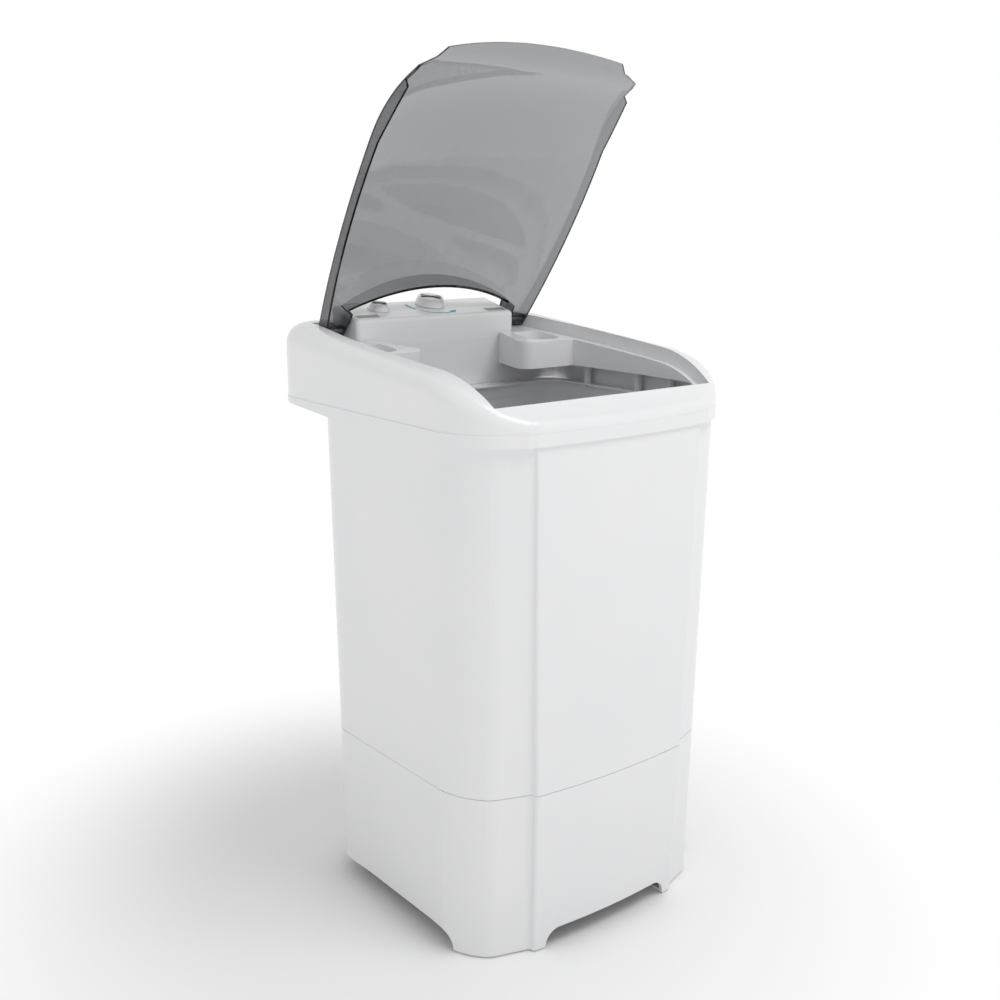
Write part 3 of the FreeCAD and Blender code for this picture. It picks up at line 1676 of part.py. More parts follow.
def motor_bracket():
    """Plate under the tub that carries the motor and, on its wing, the capacitor."""
    near = drive_y() + s.bracket_screw_near - s.boss_radius * 2
    far = drive_y() + s.bracket_screw_far + s.boss_radius * 2
    plate = prism("bracket_plate", "XY_Plane", [
        (-s.bracket_half_width, near),
        (s.bracket_wing, near),
        (s.bracket_wing, far),
        (-s.bracket_half_width, far),
    ], motor_top(), s.bracket_thickness)
    holes = []
    hole_low = motor_top() - s.bracket_thickness
    hole_length = s.bracket_thickness * 3
    for x, y in bracket_screw_places():
        hole = rod("bracket_hole", s.screw_radius + s.fit_gap, hole_length)
        holes.append(place(hole, x, y, hole_low))
    for x, y in motor_bolt_places():
        hole = rod("bracket_bolt_hole", s.bolt_radius + s.fit_gap, hole_length)
        holes.append(place(hole, x, y, hole_low))
    stud_hole = rod("capacitor_hole", s.bolt_radius + s.fit_gap, hole_length)
    holes.append(place(stud_hole, s.capacitor_offset, motor_y(), hole_low))
    return cut("motor_bracket", plate, *holes)


def bracket_screws():
    screws = []
    for x, y in bracket_screw_places():
        screws.append(place(screw_shape("bracket_screw", s.screw_length), x, y, motor_top(), UPSIDE_DOWN))
    return group("bracket_screws", screws)


def motor_housing():
    """Deep-drawn can with a bolting flange and a bearing socket in its closed top."""
    top = motor_top()
    ceiling = top - s.motor_wall
    socket = s.rotor_shaft_radius + s.fit_gap
    inner = s.motor_radius - s.motor_wall
    boss = s.rotor_shaft_radius * 2
    can = turned("motor_can", [
        (inner, motor_low()),
        (s.motor_radius, motor_low()),
        (s.motor_radius, top - s.motor_flange_height),
        (s.motor_flange_radius, top - s.motor_flange_height),
        (s.motor_flange_radius, top),
        (0, top),
        (0, ceiling + s.seat_gap),
        (socket, ceiling + s.seat_gap),
        (socket, ceiling - s.motor_wall * 2),
        (boss, ceiling - s.motor_wall * 2),
        (boss, ceiling),
        (inner, ceiling),
    ])
    on_motor(can)
    holes = []
    for x, y in motor_bolt_places():
        hole = rod("flange_hole", s.bolt_radius + s.fit_gap, s.motor_flange_height * 3)
        holes.append(place(hole, x, y, top - s.motor_flange_height * 2))
    return cut("motor_housing", can, *holes)


def motor_bolts():
    bolts = []
    low = motor_top() - s.motor_flange_height
    for x, y in motor_bolt_places():
        bolt = screw_shape("motor_bolt", s.motor_flange_height + s.bracket_thickness, s.bolt_radius)
        bolts.append(place(bolt, x, y, low, UPSIDE_DOWN))
    return group("motor_bolts", bolts)


def motor_end_shield():
    """Lower cover of the motor, spigoted into the can, with the lower bearing bore."""
    low = motor_low() - s.end_shield_height
    spigot = s.motor_radius - s.motor_wall - s.fit_gap
    return on_motor(turned("motor_end_shield", [
        (s.rotor_shaft_radius + s.fit_gap, low),
        (s.motor_radius, low),
        (s.motor_radius, motor_low()),
        (spigot, motor_low()),
        (spigot, motor_low() + s.motor_wall),
        (s.rotor_shaft_radius + s.fit_gap, motor_low() + s.motor_wall),
    ]))


def stator_low():
    return motor_low() + (s.motor_height - s.stator_height) / 2


def motor_stator():
    outer = s.motor_radius - s.motor_wall - s.fit_gap
    return on_motor(ring_shape("motor_stator", s.stator_bore, outer, stator_low(), s.stator_height))


def motor_rotor():
    core = s.stator_bore - s.rotor_gap
    return on_motor(turned("motor_rotor", [
        (0, pulley_low() - s.nut_height),
        (s.rotor_shaft_radius, pulley_low() - s.nut_height),
        (s.rotor_shaft_radius, stator_low()),
        (core, stator_low()),
        (core, stator_low() + s.stator_height),
        (s.rotor_shaft_radius, stator_low() + s.stator_height),
        (s.rotor_shaft_radius, motor_top() - s.motor_wall),
        (0, motor_top() - s.motor_wall),
    ]))


def capacitor():
    """Run capacitor: a can with a stud on top."""
    low = motor_top() - s.capacitor_height
    return place(turned("capacitor", [
        (0, low),
        (s.capacitor_radius, low),
        (s.capacitor_radius, motor_top()),
        (s.bolt_radius, motor_top()),
        (s.bolt_radius, bracket_top() + s.nut_height),
        (0, bracket_top() + s.nut_height),
    ]), s.capacitor_offset, motor_y(), 0)


def capacitor_nut():
    nut = ring_shape("capacitor_nut", s.bolt_radius + s.fit_gap, s.nut_radius, bracket_top(), s.nut_height)
    return place(nut, s.capacitor_offset, motor_y(), 0)


# Outlets in the back of the base

def drain_height():
    return well_floor() - s.floor_thickness - s.drain_drop - s.drain_bend


def drain_pipe(name, radius):
    """Down from the well, round a quarter bend and out through the back."""
    top = well_floor() - s.floor_thickness
    down = rod(name + "_down", radius, s.drain_drop)
    place(down, -s.drain_offset, drain_y(), top - s.drain_drop)
    bend = document.addObject("Part::Torus", name + "_bend")
    bind(bend, "Radius1", s.drain_bend)
    bind(bend, "Radius2", radius)
    bend.Angle3 = 90
    forwards = FreeCAD.Vector(0, -1, 0)
    downwards = FreeCAD.Vector(0, 0, -1)
    to_back = FreeCAD.Rotation(forwards, downwards, FreeCAD.Vector(1, 0, 0), "XYZ")
    place(bend, -s.drain_offset, drain_y() + s.drain_bend, top - s.drain_drop, to_back)
    out_start = drain_y() + s.drain_bend
    out = rod(name + "_out", radius, front + s.cabinet_depth + s.drain_stub - out_start)
    place(out, -s.drain_offset, out_start, drain_height(), ALONG_Y)
    return down, bend, out


def drain_outlet():
    flange = rod("drain_flange", s.drain_radius + s.wall * 2, s.wall)
    place(flange, -s.drain_offset, drain_y(), well_floor() - s.floor_thickness - s.wall)
    body = join("drain_body", flange, *drain_pipe("drain_outside", s.drain_radius))
    return cut("drain_outlet", body, *drain_pipe("drain_inside", s.drain_radius - s.drain_wall))


def cord_gland():
    """Soft bush that grips the back wall from both sides."""
    bore = s.gland_radius / 2
    flange = s.gland_radius + s.gland_flange
    inner = -back_wall_at(s.gland_height) - s.seat_gap
    gland = turned("cord_gland", [
        (bore, inner - s.gland_flange),
        (s.gland_radius + s.gland_flange / 2, inner - s.gland_flange),
        (s.gland_radius + s.gland_flange / 2, inner),
        (s.gland_radius, inner),
        (s.gland_radius, s.seat_gap),
        (flange, s.seat_gap),
        (flange - s.gland_flange / 2, s.gland_flange * 2),
        (bore, s.gland_flange * 2),
    ])
    return place(gland, s.gland_offset, front + s.cabinet_depth, s.gland_height, ALONG_Y)


# Every sub-part, checked and written

MAKERS = (
    base_housing, foot_pads, base_screws, tub_cabinet, top_frame, mouth_ring, ring_screws,
    compartment_cover, cover_screws, lid_shell, hinge_pins, control_panel, panel_screws,
    timer_module, selector_switch, module_screws, timer_knob, selector_knob,
    pulsator, pulsator_screw, drive_shaft, bearing_housing, housing_screws, bearing_bushes, shaft_seal,
    driven_pulley, pulley_nut, motor_pulley, drive_belt, motor_bracket, bracket_screws,
    motor_housing, motor_bolts, motor_end_shield, motor_stator, motor_rotor,
    capacitor, capacitor_nut, drain_outlet, cord_gland,
)

finished = []
for maker in MAKERS:
    piece = maker()
    piece.Label = maker.__name__
    finished.append(piece)
document.recompute()

for piece in document.Objects:
    if "Invalid" in piece.State or "Error" in piece.State:
        raise RuntimeError("%s failed: %s" % (piece.Label, piece.State))
for piece in finished:
    if piece.Shape.isNull() or not piece.Shape.isValid() or not piece.Shape.Solids:
        raise RuntimeError("%s has no valid solid" % piece.Label)

os.makedirs("parts", exist_ok=True)
for piece in finished:
    piece.Shape.exportStep("parts/%s.step" % piece.Label)
    print(piece.Label, len(piece.Shape.Solids), "solids", round(piece.Shape.Volume / 1000, 1), "cm3")
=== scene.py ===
import math
import bmesh
import bpy
from mathutils import Matrix, Vector


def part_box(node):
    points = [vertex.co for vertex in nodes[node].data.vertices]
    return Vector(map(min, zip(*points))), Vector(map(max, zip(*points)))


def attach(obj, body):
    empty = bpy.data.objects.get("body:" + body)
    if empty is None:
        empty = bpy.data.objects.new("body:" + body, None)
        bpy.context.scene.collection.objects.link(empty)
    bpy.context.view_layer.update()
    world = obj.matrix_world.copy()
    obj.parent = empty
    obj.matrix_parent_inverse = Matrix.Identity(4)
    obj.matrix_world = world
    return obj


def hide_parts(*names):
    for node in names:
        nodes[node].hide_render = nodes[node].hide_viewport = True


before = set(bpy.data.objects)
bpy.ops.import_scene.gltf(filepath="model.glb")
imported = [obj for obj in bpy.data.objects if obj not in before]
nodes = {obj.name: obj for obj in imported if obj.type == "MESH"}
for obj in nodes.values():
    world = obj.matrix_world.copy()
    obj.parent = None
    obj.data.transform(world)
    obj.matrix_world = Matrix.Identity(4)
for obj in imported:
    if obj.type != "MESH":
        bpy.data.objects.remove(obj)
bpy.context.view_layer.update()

# Base housing, tub cabinet, mouth ring, top frame and compartment cover.
# Injection-moulded polypropylene, white right through, screwed together. The polished mould leaves a soft
# gloss with a faint ripple, and uneven cooling shows as slow changes of shade and sheen.


def linear(hex_colour):
    """An sRGB hex colour as the linear red, green, blue and alpha that shaders use."""
    channels = []
    for start in (1, 3, 5):
        value = int(hex_colour[start:start + 2], 16) / 255
        channels.append(value / 12.92 if value <= 0.04045 else ((value + 0.055) / 1.055) ** 2.4)
    return (*channels, 1.0)


def add(tree, kind, inputs=None, **settings):
    """Adds a node with its settings, and links or sets its inputs."""
    made = tree.nodes.new(kind)
    for name, value in settings.items():
        setattr(made, name, value)
    for name, value in (inputs or {}).items():
        if isinstance(value, bpy.types.NodeSocket):
            tree.links.new(value, made.inputs[name])
        else:
            made.inputs[name].default_value = value
    return made


def new_material(name):
    """An empty material with its tree and output, for its section to fill."""
    material = bpy.data.materials.new(name)
    material.use_nodes = True
    tree = material.node_tree
    tree.nodes.clear()
    return material, tree, tree.nodes.new("ShaderNodeOutputMaterial")


def moulded_plastic(name, light, dark, roughness, ripple, ripple_mm=2.4):
    """Moulded plastic: slow change of shade, uneven sheen and a ripple, drawn coarse enough to show."""
    material, tree, output = new_material(name)
    place = add(tree, "ShaderNodeTexCoord").outputs["Object"]
    cloud_mm = 140
    sheen_mm = 35
    ripple_height_mm = 0.4
    sheen_spread = 0.05
    plastic_ior = 1.49
    cloud = add(tree, "ShaderNodeTexNoise", {"Vector": place, "Scale": 1000 / cloud_mm, "Detail": 2.0})
    shade = add(tree, "ShaderNodeMix", {
        "Factor": cloud.outputs["Fac"], "A": linear(dark), "B": linear(light)}, data_type="RGBA")
    sheen = add(tree, "ShaderNodeTexNoise", {"Vector": place, "Scale": 1000 / sheen_mm, "Detail": 3.0})
    rough = add(tree, "ShaderNodeMapRange", {
        "Value": sheen.outputs["Fac"],
        "To Min": roughness - sheen_spread, "To Max": roughness + sheen_spread})
    peel = add(tree, "ShaderNodeTexNoise", {"Vector": place, "Scale": 1000 / ripple_mm, "Detail": 1.0})
    bump = add(tree, "ShaderNodeBump", {
        "Height": peel.outputs["Fac"], "Strength": ripple, "Distance": ripple_height_mm / 1000})
    surface = add(tree, "ShaderNodeBsdfPrincipled", {
        "Base Color": shade.outputs["Result"], "Roughness": rough.outputs["Result"],
        "Normal": bump.outputs["Normal"], "IOR": plastic_ior})
    tree.links.new(surface.outputs["BSDF"], output.inputs["Surface"])
    return material


def dress(material, *names):
    """Gives CAD nodes a material in place of their plain one."""
    for name in names:
        mesh = nodes[name].data
        mesh.materials.clear()
        mesh.materials.append(material)


white_polypropylene = moulded_plastic(
    "white_polypropylene", "#F1F1F2", "#ECEDEE", roughness=0.24, ripple=0.05)
dress(white_polypropylene, "base_housing", "tub_cabinet", "mouth_ring", "top_frame", "compartment_cover")

# Foot pads.
# Pale thermoplastic rubber, moulded and pushed up under the four feet. It is matt, with a fine even grain.
pale_rubber = moulded_plastic(
    "pale_thermoplastic_rubber", "#C9CACB", "#BEBFC0", roughness=0.6, ripple=0.3, ripple_mm=1.2)
dress(pale_rubber, "foot_pads")

# Shaft seal, belt and cord gland.
# Black nitrile rubber, moulded in heated steel tools. It is matt and slightly grey, with a fine grain.
black_rubber = moulded_plastic(
    "black_nitrile_rubber", "#2B2B2C", "#1B1B1C", roughness=0.72, ripple=0.35, ripple_mm=1.2)
dress(black_rubber, "shaft_seal", "drive_belt", "cord_gland")

# Screws, nuts and hinge pins.
# Zinc-plated steel, cold-headed and thread-rolled, bright with a faint grain from the plating barrel. The
# three base screws and the two cover screws show outside, and have pan heads with a cross recess.


def plain_metal(name, light, dark, roughness, grain_mm, grain_depth, stretch=(1, 1, 1)):
    """Bare metal: a grain coarse enough to show, drawn out one way where it was turned, stacked or drawn."""
    material, tree, output = new_material(name)
    place = add(tree, "ShaderNodeTexCoord").outputs["Object"]
    drawn = add(tree, "ShaderNodeMapping", {"Vector": place, "Scale": stretch}).outputs["Vector"]
    grain = add(tree, "ShaderNodeTexNoise", {"Vector": drawn, "Scale": 1000 / grain_mm, "Detail": 4.0})
    shade = add(tree, "ShaderNodeMix", {
        "Factor": grain.outputs["Fac"], "A": linear(dark), "B": linear(light)}, data_type="RGBA")
    sheen_spread = 0.08
    grain_height_mm = 0.3
    rough = add(tree, "ShaderNodeMapRange", {
        "Value": grain.outputs["Fac"],
        "To Min": roughness - sheen_spread, "To Max": roughness + sheen_spread})
    bump = add(tree, "ShaderNodeBump", {
        "Height": grain.outputs["Fac"], "Strength": grain_depth, "Distance": grain_height_mm / 1000})
    surface = add(tree, "ShaderNodeBsdfPrincipled", {
        "Base Color": shade.outputs["Result"], "Roughness": rough.outputs["Result"],
        "Normal": bump.outputs["Normal"], "Metallic": 1.0})
    tree.links.new(surface.outputs["BSDF"], output.inputs["Surface"])
    return material


zinc_plate = plain_metal(
    "zinc_plated_steel", "#C9CBCE", "#A9ABAF", roughness=0.32, grain_mm=1.5, grain_depth=0.15)
dress(zinc_plate, "ring_screws", "panel_screws", "module_screws", "pulsator_screw", "housing_screws",
      "bracket_screws", "motor_bolts", "pulley_nut", "capacitor_nut", "hinge_pins")


def screw_tree():
    """Cross-recessed pan head on a shank, put on every point of a mesh and turned to face one way."""
    tree = bpy.data.node_groups.new("cross_recess_screw", "GeometryNodeTree")
    tree.interface.new_socket("Geometry", in_out="INPUT", socket_type="NodeSocketGeometry")
    for label in ("Head Radius", "Head Height", "Shank Radius", "Shank Length"):
        tree.interface.new_socket(label, in_out="INPUT", socket_type="NodeSocketFloat")
    tree.interface.new_socket("Turn", in_out="INPUT", socket_type="NodeSocketVector")
    tree.interface.new_socket("Finish", in_out="INPUT", socket_type="NodeSocketMaterial")
    tree.interface.new_socket("Geometry", in_out="OUTPUT", socket_type="NodeSocketGeometry")
    given = tree.nodes.new("NodeGroupInput").outputs
    sides = 32
    dome_top_share = 0.72
    recess_length_share = 1.1
    recess_width_share = 0.22
    half = add(tree, "ShaderNodeMath", {0: given["Head Height"], 1: 0.5}, operation="MULTIPLY")
    top_radius = add(tree, "ShaderNodeMath", {
        0: given["Head Radius"], 1: dome_top_share}, operation="MULTIPLY")
    rim = add(tree, "GeometryNodeMeshCylinder", {
        "Vertices": sides, "Radius": given["Head Radius"], "Depth": half.outputs[0]})
    dome = add(tree, "GeometryNodeMeshCone", {
        "Vertices": sides, "Radius Top": top_radius.outputs[0], "Radius Bottom": given["Head Radius"],
        "Depth": half.outputs[0]})
    quarter = add(tree, "ShaderNodeMath", {0: half.outputs[0], 1: 0.5}, operation="MULTIPLY")
    rim_lift = add(tree, "ShaderNodeCombineXYZ", {"Z": quarter.outputs[0]})
    rim_up = add(tree, "GeometryNodeTransform", {
        "Geometry": rim.outputs["Mesh"], "Translation": rim_lift.outputs[0]})
    dome_lift = add(tree, "ShaderNodeCombineXYZ", {"Z": half.outputs[0]})
    dome_up = add(tree, "GeometryNodeTransform", {
        "Geometry": dome.outputs["Mesh"], "Translation": dome_lift.outputs[0]})
    shank = add(tree, "GeometryNodeMeshCylinder", {
        "Vertices": sides, "Radius": given["Shank Radius"], "Depth": given["Shank Length"]})
    shank_middle = add(tree, "ShaderNodeMath", {
        0: given["Shank Length"], 1: -0.5}, operation="MULTIPLY")
    shank_drop = add(tree, "ShaderNodeCombineXYZ", {"Z": shank_middle.outputs[0]})
    shank_down = add(tree, "GeometryNodeTransform", {
        "Geometry": shank.outputs["Mesh"], "Translation": shank_drop.outputs[0]})
    solid = add(tree, "GeometryNodeMeshBoolean", operation="UNION", solver="EXACT")
    for part in (rim_up, dome_up, shank_down):
        tree.links.new(part.outputs["Geometry"], solid.inputs["Mesh 2"])
    slot_long = add(tree, "ShaderNodeMath", {
        0: given["Head Radius"], 1: recess_length_share}, operation="MULTIPLY")
    slot_wide = add(tree, "ShaderNodeMath", {
        0: given["Head Radius"], 1: recess_width_share}, operation="MULTIPLY")
    recess = add(tree, "GeometryNodeMeshBoolean", {"Mesh 1": solid.outputs["Mesh"]},
                 operation="DIFFERENCE", solver="EXACT")
    for wide, long in ((slot_wide, slot_long), (slot_long, slot_wide)):
        size = add(tree, "ShaderNodeCombineXYZ", {
            "X": wide.outputs[0], "Y": long.outputs[0], "Z": given["Head Height"]})
        arm = add(tree, "GeometryNodeMeshCube", {"Size": size.outputs[0]})
        arm_lift = add(tree, "ShaderNodeCombineXYZ", {"Z": given["Head Height"]})
        arm_up = add(tree, "GeometryNodeTransform", {
            "Geometry": arm.outputs["Mesh"], "Translation": arm_lift.outputs[0]})
        tree.links.new(arm_up.outputs["Geometry"], recess.inputs["Mesh 2"])
    points = add(tree, "GeometryNodeMeshToPoints", {"Mesh": given["Geometry"]})
    turn = add(tree, "FunctionNodeEulerToRotation", {"Euler": given["Turn"]})
    placed = add(tree, "GeometryNodeInstanceOnPoints", {
        "Points": points.outputs["Points"], "Instance": recess.outputs["Mesh"], "Rotation": turn.outputs[0]})
    realized = add(tree, "GeometryNodeRealizeInstances", {"Geometry": placed.outputs["Instances"]})
    finished = add(tree, "GeometryNodeSetMaterial", {
        "Geometry": realized.outputs["Geometry"], "Material": given["Finish"]})
    add(tree, "NodeGroupOutput", {"Geometry": finished.outputs["Geometry"]})
    return tree


cross_recess_screw = screw_tree()
screw_head_radius = 0.004
screw_head_height = 0.0026
screw_shank_radius = 0.002


def set_screws(name, places, turn, shank_length, node):
    """A row of real screws that stands for a CAD node's plain ones."""
    seats = bpy.data.meshes.new(name + "_seats")
    seats.from_pydata(places, [], [])
    holder = bpy.data.objects.new(name + "_holder", seats)
    bpy.context.scene.collection.objects.link(holder)
    modifier = holder.modifiers.new("screws", "NODES")
    modifier.node_group = cross_recess_screw
    values = {
        "Head Radius": screw_head_radius,
        "Head Height": screw_head_height,
        "Shank Radius": screw_shank_radius,
        "Shank Length": shank_length,
        "Turn": turn,
        "Finish": zinc_plate,
    }
    for item in cross_recess_screw.interface.items_tree:
        if item.in_out == "INPUT" and item.name in values:
            modifier[item.identifier] = values[item.name]
    evaluated = holder.evaluated_get(bpy.context.evaluated_depsgraph_get())
    mesh = bpy.data.meshes.new_from_object(evaluated)
    mesh.name = name
    bpy.data.objects.remove(holder)
    piece = bpy.data.objects.new(name, mesh)
    bpy.context.scene.collection.objects.link(piece)
    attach(piece, "machine")
    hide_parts(node)


front_face = -0.268
back_setback = 0.420
back_face = front_face + back_setback
base_screw_spread = 0.145
base_screw_height = 0.237
base_shank_length = 0.0075
facing_back = (-math.pi / 2, 0, 0)
base_places = [(x, back_face, base_screw_height) for x in (-base_screw_spread, 0, base_screw_spread)]
set_screws("base_screw_heads", base_places, facing_back, base_shank_length, "base_screws")
cover_screw_spread = 0.118
cover_shank_length = 0.014
facing_down = (math.pi, 0, 0)
cover_low, cover_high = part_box("compartment_cover")
cover_screw_y = (cover_low[1] + cover_high[1]) / 2
cover_places = [(x, cover_screw_y, cover_low[2]) for x in (-cover_screw_spread, cover_screw_spread)]
set_screws("cover_screw_heads", cover_places, facing_down, cover_shank_length, "cover_screws")

# Pulsator, control bodies and drain outlet.
# Grey polypropylene from a textured mould: matt, with a fine even grain.
grey_polypropylene = moulded_plastic(
    "grey_polypropylene", "#B4B8BC", "#A9ADB1", roughness=0.45, ripple=0.2, ripple_mm=0.9)
dress(grey_polypropylene, "pulsator", "timer_module", "selector_switch", "drain_outlet")

# Bearing, shaft, pulleys, motor and capacitor under the tub.
# Die-cast aluminium housings and pulleys, a turned steel shaft, sintered bronze bushes, stacked steel
# laminations, a drawn aluminium can, and a motor can and bracket of pressed steel dipped in black paint.
cast_aluminium = plain_metal(
    "cast_aluminium", "#B9BABC", "#9A9B9E", roughness=0.5, grain_mm=2.0, grain_depth=0.4)
dress(cast_aluminium, "bearing_housing", "motor_end_shield", "driven_pulley", "motor_pulley")
turned_steel = plain_metal(
    "turned_steel", "#B5B6B8", "#8F9092", roughness=0.3, grain_mm=1.0, grain_depth=0.2, stretch=(1, 1, 14))
dress(turned_steel, "drive_shaft", "motor_rotor")
lamination_steel = plain_metal(
    "lamination_steel", "#8C8C8C", "#6F6F70", roughness=0.5, grain_mm=1.0, grain_depth=0.5,
    stretch=(1, 1, 30))
dress(lamination_steel, "motor_stator")
sintered_bronze = plain_metal(
    "sintered_bronze", "#B08A52", "#8F6C3C", roughness=0.45, grain_mm=0.8, grain_depth=0.4)
dress(sintered_bronze, "bearing_bushes")
drawn_aluminium = plain_metal(
    "drawn_aluminium", "#C8C9CB", "#B2B3B6", roughness=0.35, grain_mm=1.2, grain_depth=0.15,
    stretch=(10, 10, 1))
dress(drawn_aluminium, "capacitor")
black_paint = moulded_plastic(
    "dipped_black_paint", "#26272A", "#1C1D1F", roughness=0.4, ripple=0.25, ripple_mm=3.0)
dress(black_paint, "motor_housing", "motor_bracket")

# Barbs on the drain outlet.
# Two saw-tooth rings moulded with the pipe in the same grey polypropylene, steep towards the wall and
# sloping towards the pipe's open end, so that they grip what is pushed over them.
pipe_radius = 0.016
pipe_x = -0.115
pipe_z = 0.184
barb_height = 0.0012
barb_length = 0.006
barb_steps = 48
barb_setbacks = (0.010, 0.018)


def skin(mesh, loops):
    """Faces between each closed loop of points and the next."""
    for here, there in zip(loops[:-1], loops[1:]):
        count = len(here)
        for index in range(count):
            after = (index + 1) % count
            mesh.faces.new((here[index], here[after], there[after], there[index]))


def turned_ring(mesh, profile, place, steps):
    """Closed ring from (radius, height) points turned about a frame's Z."""
    loops = []
    for step in range(steps):
        angle = 2 * math.pi * step / steps
        loop = []
        for radius, height in profile:
            point = Vector((radius * math.cos(angle), radius * math.sin(angle), height))
            loop.append(mesh.verts.new(place @ point))
        loops.append(loop)
    skin(mesh, loops + loops[:1])


def finish_piece(name, mesh, material, body):
    """Makes an object from a drawn mesh, with outward faces, and lets it ride on a body."""
    bmesh.ops.recalc_face_normals(mesh, faces=mesh.faces[:])
    data = bpy.data.meshes.new(name)
    mesh.to_mesh(data)
    mesh.free()
    data.materials.append(material)
    piece = bpy.data.objects.new(name, data)
    bpy.context.scene.collection.objects.link(piece)
    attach(piece, body)


barbs = bmesh.new()
barb_inner = pipe_radius - barb_height / 2
barb_outer = pipe_radius + barb_height
pipe_start = Matrix.Translation((pipe_x, back_face, pipe_z)) @ Matrix.Rotation(-math.pi / 2, 4, "X")
for start in barb_setbacks:
    saw_tooth = [(barb_inner, start), (barb_outer, start), (barb_inner, start + barb_length)]
    turned_ring(barbs, saw_tooth, pipe_start, barb_steps)
finish_piece("drain_barbs", barbs, grey_polypropylene, "machine")

# Control panel.
# A white ABS moulding that drops into the frame's rear pocket and is screwed from below. ABS takes a deeper
# gloss from the mould than the body's polypropylene.
white_abs = moulded_plastic("white_abs", "#F3F3F4", "#EFF0F1", roughness=0.2, ripple=0.04)
dress(white_abs, "control_panel")

# Marks on the panel: the timer's turning arrow and the selector's dots.
# Pad-printed ink, a thin even film that is a little more matt than the plastic under it.
console_setback = 0.430
console_height = 0.849
console_rear_height = 0.8688
console_depth = 0.079
console_rise = (console_rear_height - console_height) / console_depth
console_tilt = math.atan(console_rise)
ink_thickness = 0.00012


def on_console(x, setback):
    """Frame on the sloping panel: X along the panel, Y up the slope, Z out of it."""
    z = console_height + console_rise * (setback - console_setback)
    return Matrix.Translation((x, front_face + setback, z)) @ Matrix.Rotation(console_tilt, 4, "X")


def printing_ink(name, light, dark):
    """Pad-printed ink with the mottle of the print pad, drawn coarse enough to show."""
    material, tree, output = new_material(name)
    place = add(tree, "ShaderNodeTexCoord").outputs["Object"]
    mottle_mm = 1.5
    smoothest = 0.35
    roughest = 0.5
    mottle = add(tree, "ShaderNodeTexNoise", {"Vector": place, "Scale": 1000 / mottle_mm, "Detail": 2.0})
    shade = add(tree, "ShaderNodeMix", {
        "Factor": mottle.outputs["Fac"], "A": linear(dark), "B": linear(light)}, data_type="RGBA")
    rough = add(tree, "ShaderNodeMapRange", {
        "Value": mottle.outputs["Fac"], "To Min": smoothest, "To Max": roughest})
    surface = add(tree, "ShaderNodeBsdfPrincipled", {
        "Base Color": shade.outputs["Result"], "Roughness": rough.outputs["Result"]})
    tree.links.new(surface.outputs["BSDF"], output.inputs["Surface"])
    return material


def slab(mesh, outline, low, high, place):
    """Closed slab between two heights over an outline, set in a frame."""
    lower = [mesh.verts.new(place @ Vector((x, y, low))) for x, y in outline]
    upper = [mesh.verts.new(place @ Vector((x, y, high))) for x, y in outline]
    mesh.faces.new(list(reversed(lower)))
    mesh.faces.new(upper)
    skin(mesh, [lower, upper])


def at_angle(radius, degrees):
    """Point on a circle about the frame's middle."""
    return radius * math.cos(math.radians(degrees)), radius * math.sin(math.radians(degrees))


def arc_band(radius, width, first, last, steps):
    """Outline of a bent stripe between two angles in degrees; its width changes along the way."""
    outer = []
    inner = []
    for step in range(steps + 1):
        share = step / steps
        degrees = first + (last - first) * share
        half = (width[0] + (width[1] - width[0]) * share) / 2
        outer.append(at_angle(radius + half, degrees))
        inner.append(at_angle(radius - half, degrees))
    return outer + list(reversed(inner))


timer_x = 0.019
timer_setback = 0.482
arrow_radius = 0.0435
arrow_head_half = 0.0055
turquoise_ink = printing_ink("turquoise_ink", "#1FA7B8", "#1796A8")
arrow = bmesh.new()
timer_place = on_console(timer_x, timer_setback)
stripe = arc_band(arrow_radius, width=(0.0055, 0.0048), first=174, last=206, steps=12)
slab(arrow, stripe, 0, ink_thickness, timer_place)
tail = arc_band(arrow_radius, width=(0.0016, 0.0040), first=216, last=293, steps=28)
slab(arrow, tail, 0, ink_thickness, timer_place)
head_start = 292
head_tip = 312
arrow_head = [
    at_angle(arrow_radius + arrow_head_half, head_start),
    at_angle(arrow_radius, head_tip),
    at_angle(arrow_radius - arrow_head_half, head_start),
]
slab(arrow, arrow_head, 0, ink_thickness, timer_place)
finish_piece("timer_arrow_print", arrow, turquoise_ink, "machine")

selector_x = -0.084
selector_setback = 0.471
grey_ink = printing_ink("grey_ink", "#8E9296", "#7C8084")
dots = bmesh.new()
selector_place = on_console(selector_x, selector_setback)
dot_radius = 0.0009
dot_circle = 0.029
dot_steps = 16
dot_angles = (150, 165, 180, 195, 210)
for degrees in dot_angles:
    dot_x, dot_y = at_angle(dot_circle, degrees)
    outline = []
    for step in range(dot_steps):
        edge_x, edge_y = at_angle(dot_radius, 360 * step / dot_steps)
        outline.append((dot_x + edge_x, dot_y + edge_y))
    slab(dots, outline, 0, ink_thickness, selector_place)
finish_piece("selector_dots_print", dots, grey_ink, "machine")

